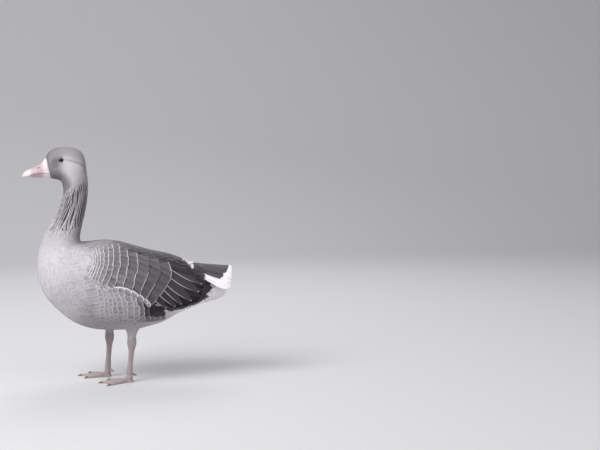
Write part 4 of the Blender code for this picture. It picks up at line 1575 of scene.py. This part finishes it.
def claw_material():
    graph = Graph("claw_horn_look")
    streak = graph.noise(400.0, 3.0)
    colour = graph.mix(streak, rgb(150, 132, 124), rgb(96, 82, 78))
    graph.bump(streak, 0.1 * MM, 0.4)
    return graph.finish(colour, 0.4, specular=0.4)


# --- Camera, floor and lights

CAMERA_AT = (-0.2946, -3.2576, 0.6595)
CAMERA_TO = (0.22662, 0.97103, -0.07576)
LENS = 73.44


def make_camera():
    data = bpy.data.cameras.new("camera")
    data.sensor_fit = "HORIZONTAL"
    data.sensor_width = 36
    data.lens = LENS
    camera = new_object("camera", data)
    camera.location = CAMERA_AT
    camera.rotation_euler = Vector(CAMERA_TO).to_track_quat("-Z", "Y").to_euler()
    bpy.context.scene.camera = camera


FLOOR_REACH = 30.0      # to the front and to each side
FLOOR_BACK = 3.0        # to where it begins to bend up
BEND = 1.5              # radius of the bend
BEND_STEPS = 12
WALL_TOP = 7.0


def make_floor():
    """A pale floor that curves up into a backdrop far behind."""
    profile = [(-FLOOR_REACH, 0.0), (FLOOR_BACK, 0.0)]
    for k in range(1, BEND_STEPS + 1):
        turn = k / BEND_STEPS * math.pi / 2
        profile.append((FLOOR_BACK + BEND * math.sin(turn), BEND - BEND * math.cos(turn)))
    profile.append((FLOOR_BACK + BEND, WALL_TOP))
    points = [(x, y, z) for y, z in profile for x in (-FLOOR_REACH, FLOOR_REACH)]
    faces = [(2 * k, 2 * k + 1, 2 * k + 3, 2 * k + 2) for k in range(len(profile) - 1)]
    mesh = bpy.data.meshes.new("floor")
    mesh.from_pydata(points, [], faces)
    mesh.shade_smooth()
    graph = Graph("floor")
    mesh.materials.append(graph.finish((0.62, 0.61, 0.62, 1), 0.9, specular=0.1))
    floor = new_object("floor", mesh)


# Lights: place, size, power.
LIGHTS = {
    "key": ((-2.4, -1.6, 3.0), 2.2, 150),
    "fill": ((2.6, -2.8, 2.0), 2.6, 24),
    "back": ((0.6, 2.2, 2.6), 1.6, 30),
}


SKY_LOW = (0.56, 0.56, 0.57, 1)
SKY_HIGH = (0.95, 0.96, 0.99, 1)
SKY_TOP = 0.45          # how far up the sky it is at its palest
SKY_STRENGTH = 0.5


def make_lights():
    for name, (place, size, power) in LIGHTS.items():
        data = bpy.data.lights.new(name, "AREA")
        data.size = size
        data.energy = power
        light = new_object(name, data)
        light.location = place
        aim = Vector((0, 0, 0.3)) - Vector(place)
        light.rotation_euler = aim.to_track_quat("-Z", "Y").to_euler()
    graph = Graph("studio", "worlds", "Background")
    height = graph.split(graph.place("Generated"))["Z"]
    sky = graph.mix(graph.steps(height, 0.0, SKY_TOP), SKY_LOW, SKY_HIGH)
    graph.set(graph.shader, {"Color": sky, "Strength": SKY_STRENGTH})
    bpy.context.scene.world = graph.block
    bpy.context.scene.view_settings.view_transform = "Standard"


make_camera()
make_floor()
make_lights()
skin = make_skin()
make_lids(skin)
make_head_coat()
make_neck_coat()
make_body_coats()
make_thigh_coat()
for side_name in SIDES:
    make_coverts(side_name)
    make_flight(side_name)
    make_flank(side_name)
    make_eye(side_name)
make_tail()
make_tail_coverts()
make_bill()
leg_look = leg_material()
claw_look = claw_material()
for side_name in SIDES:
    make_leg(side_name, leg_look, claw_look)
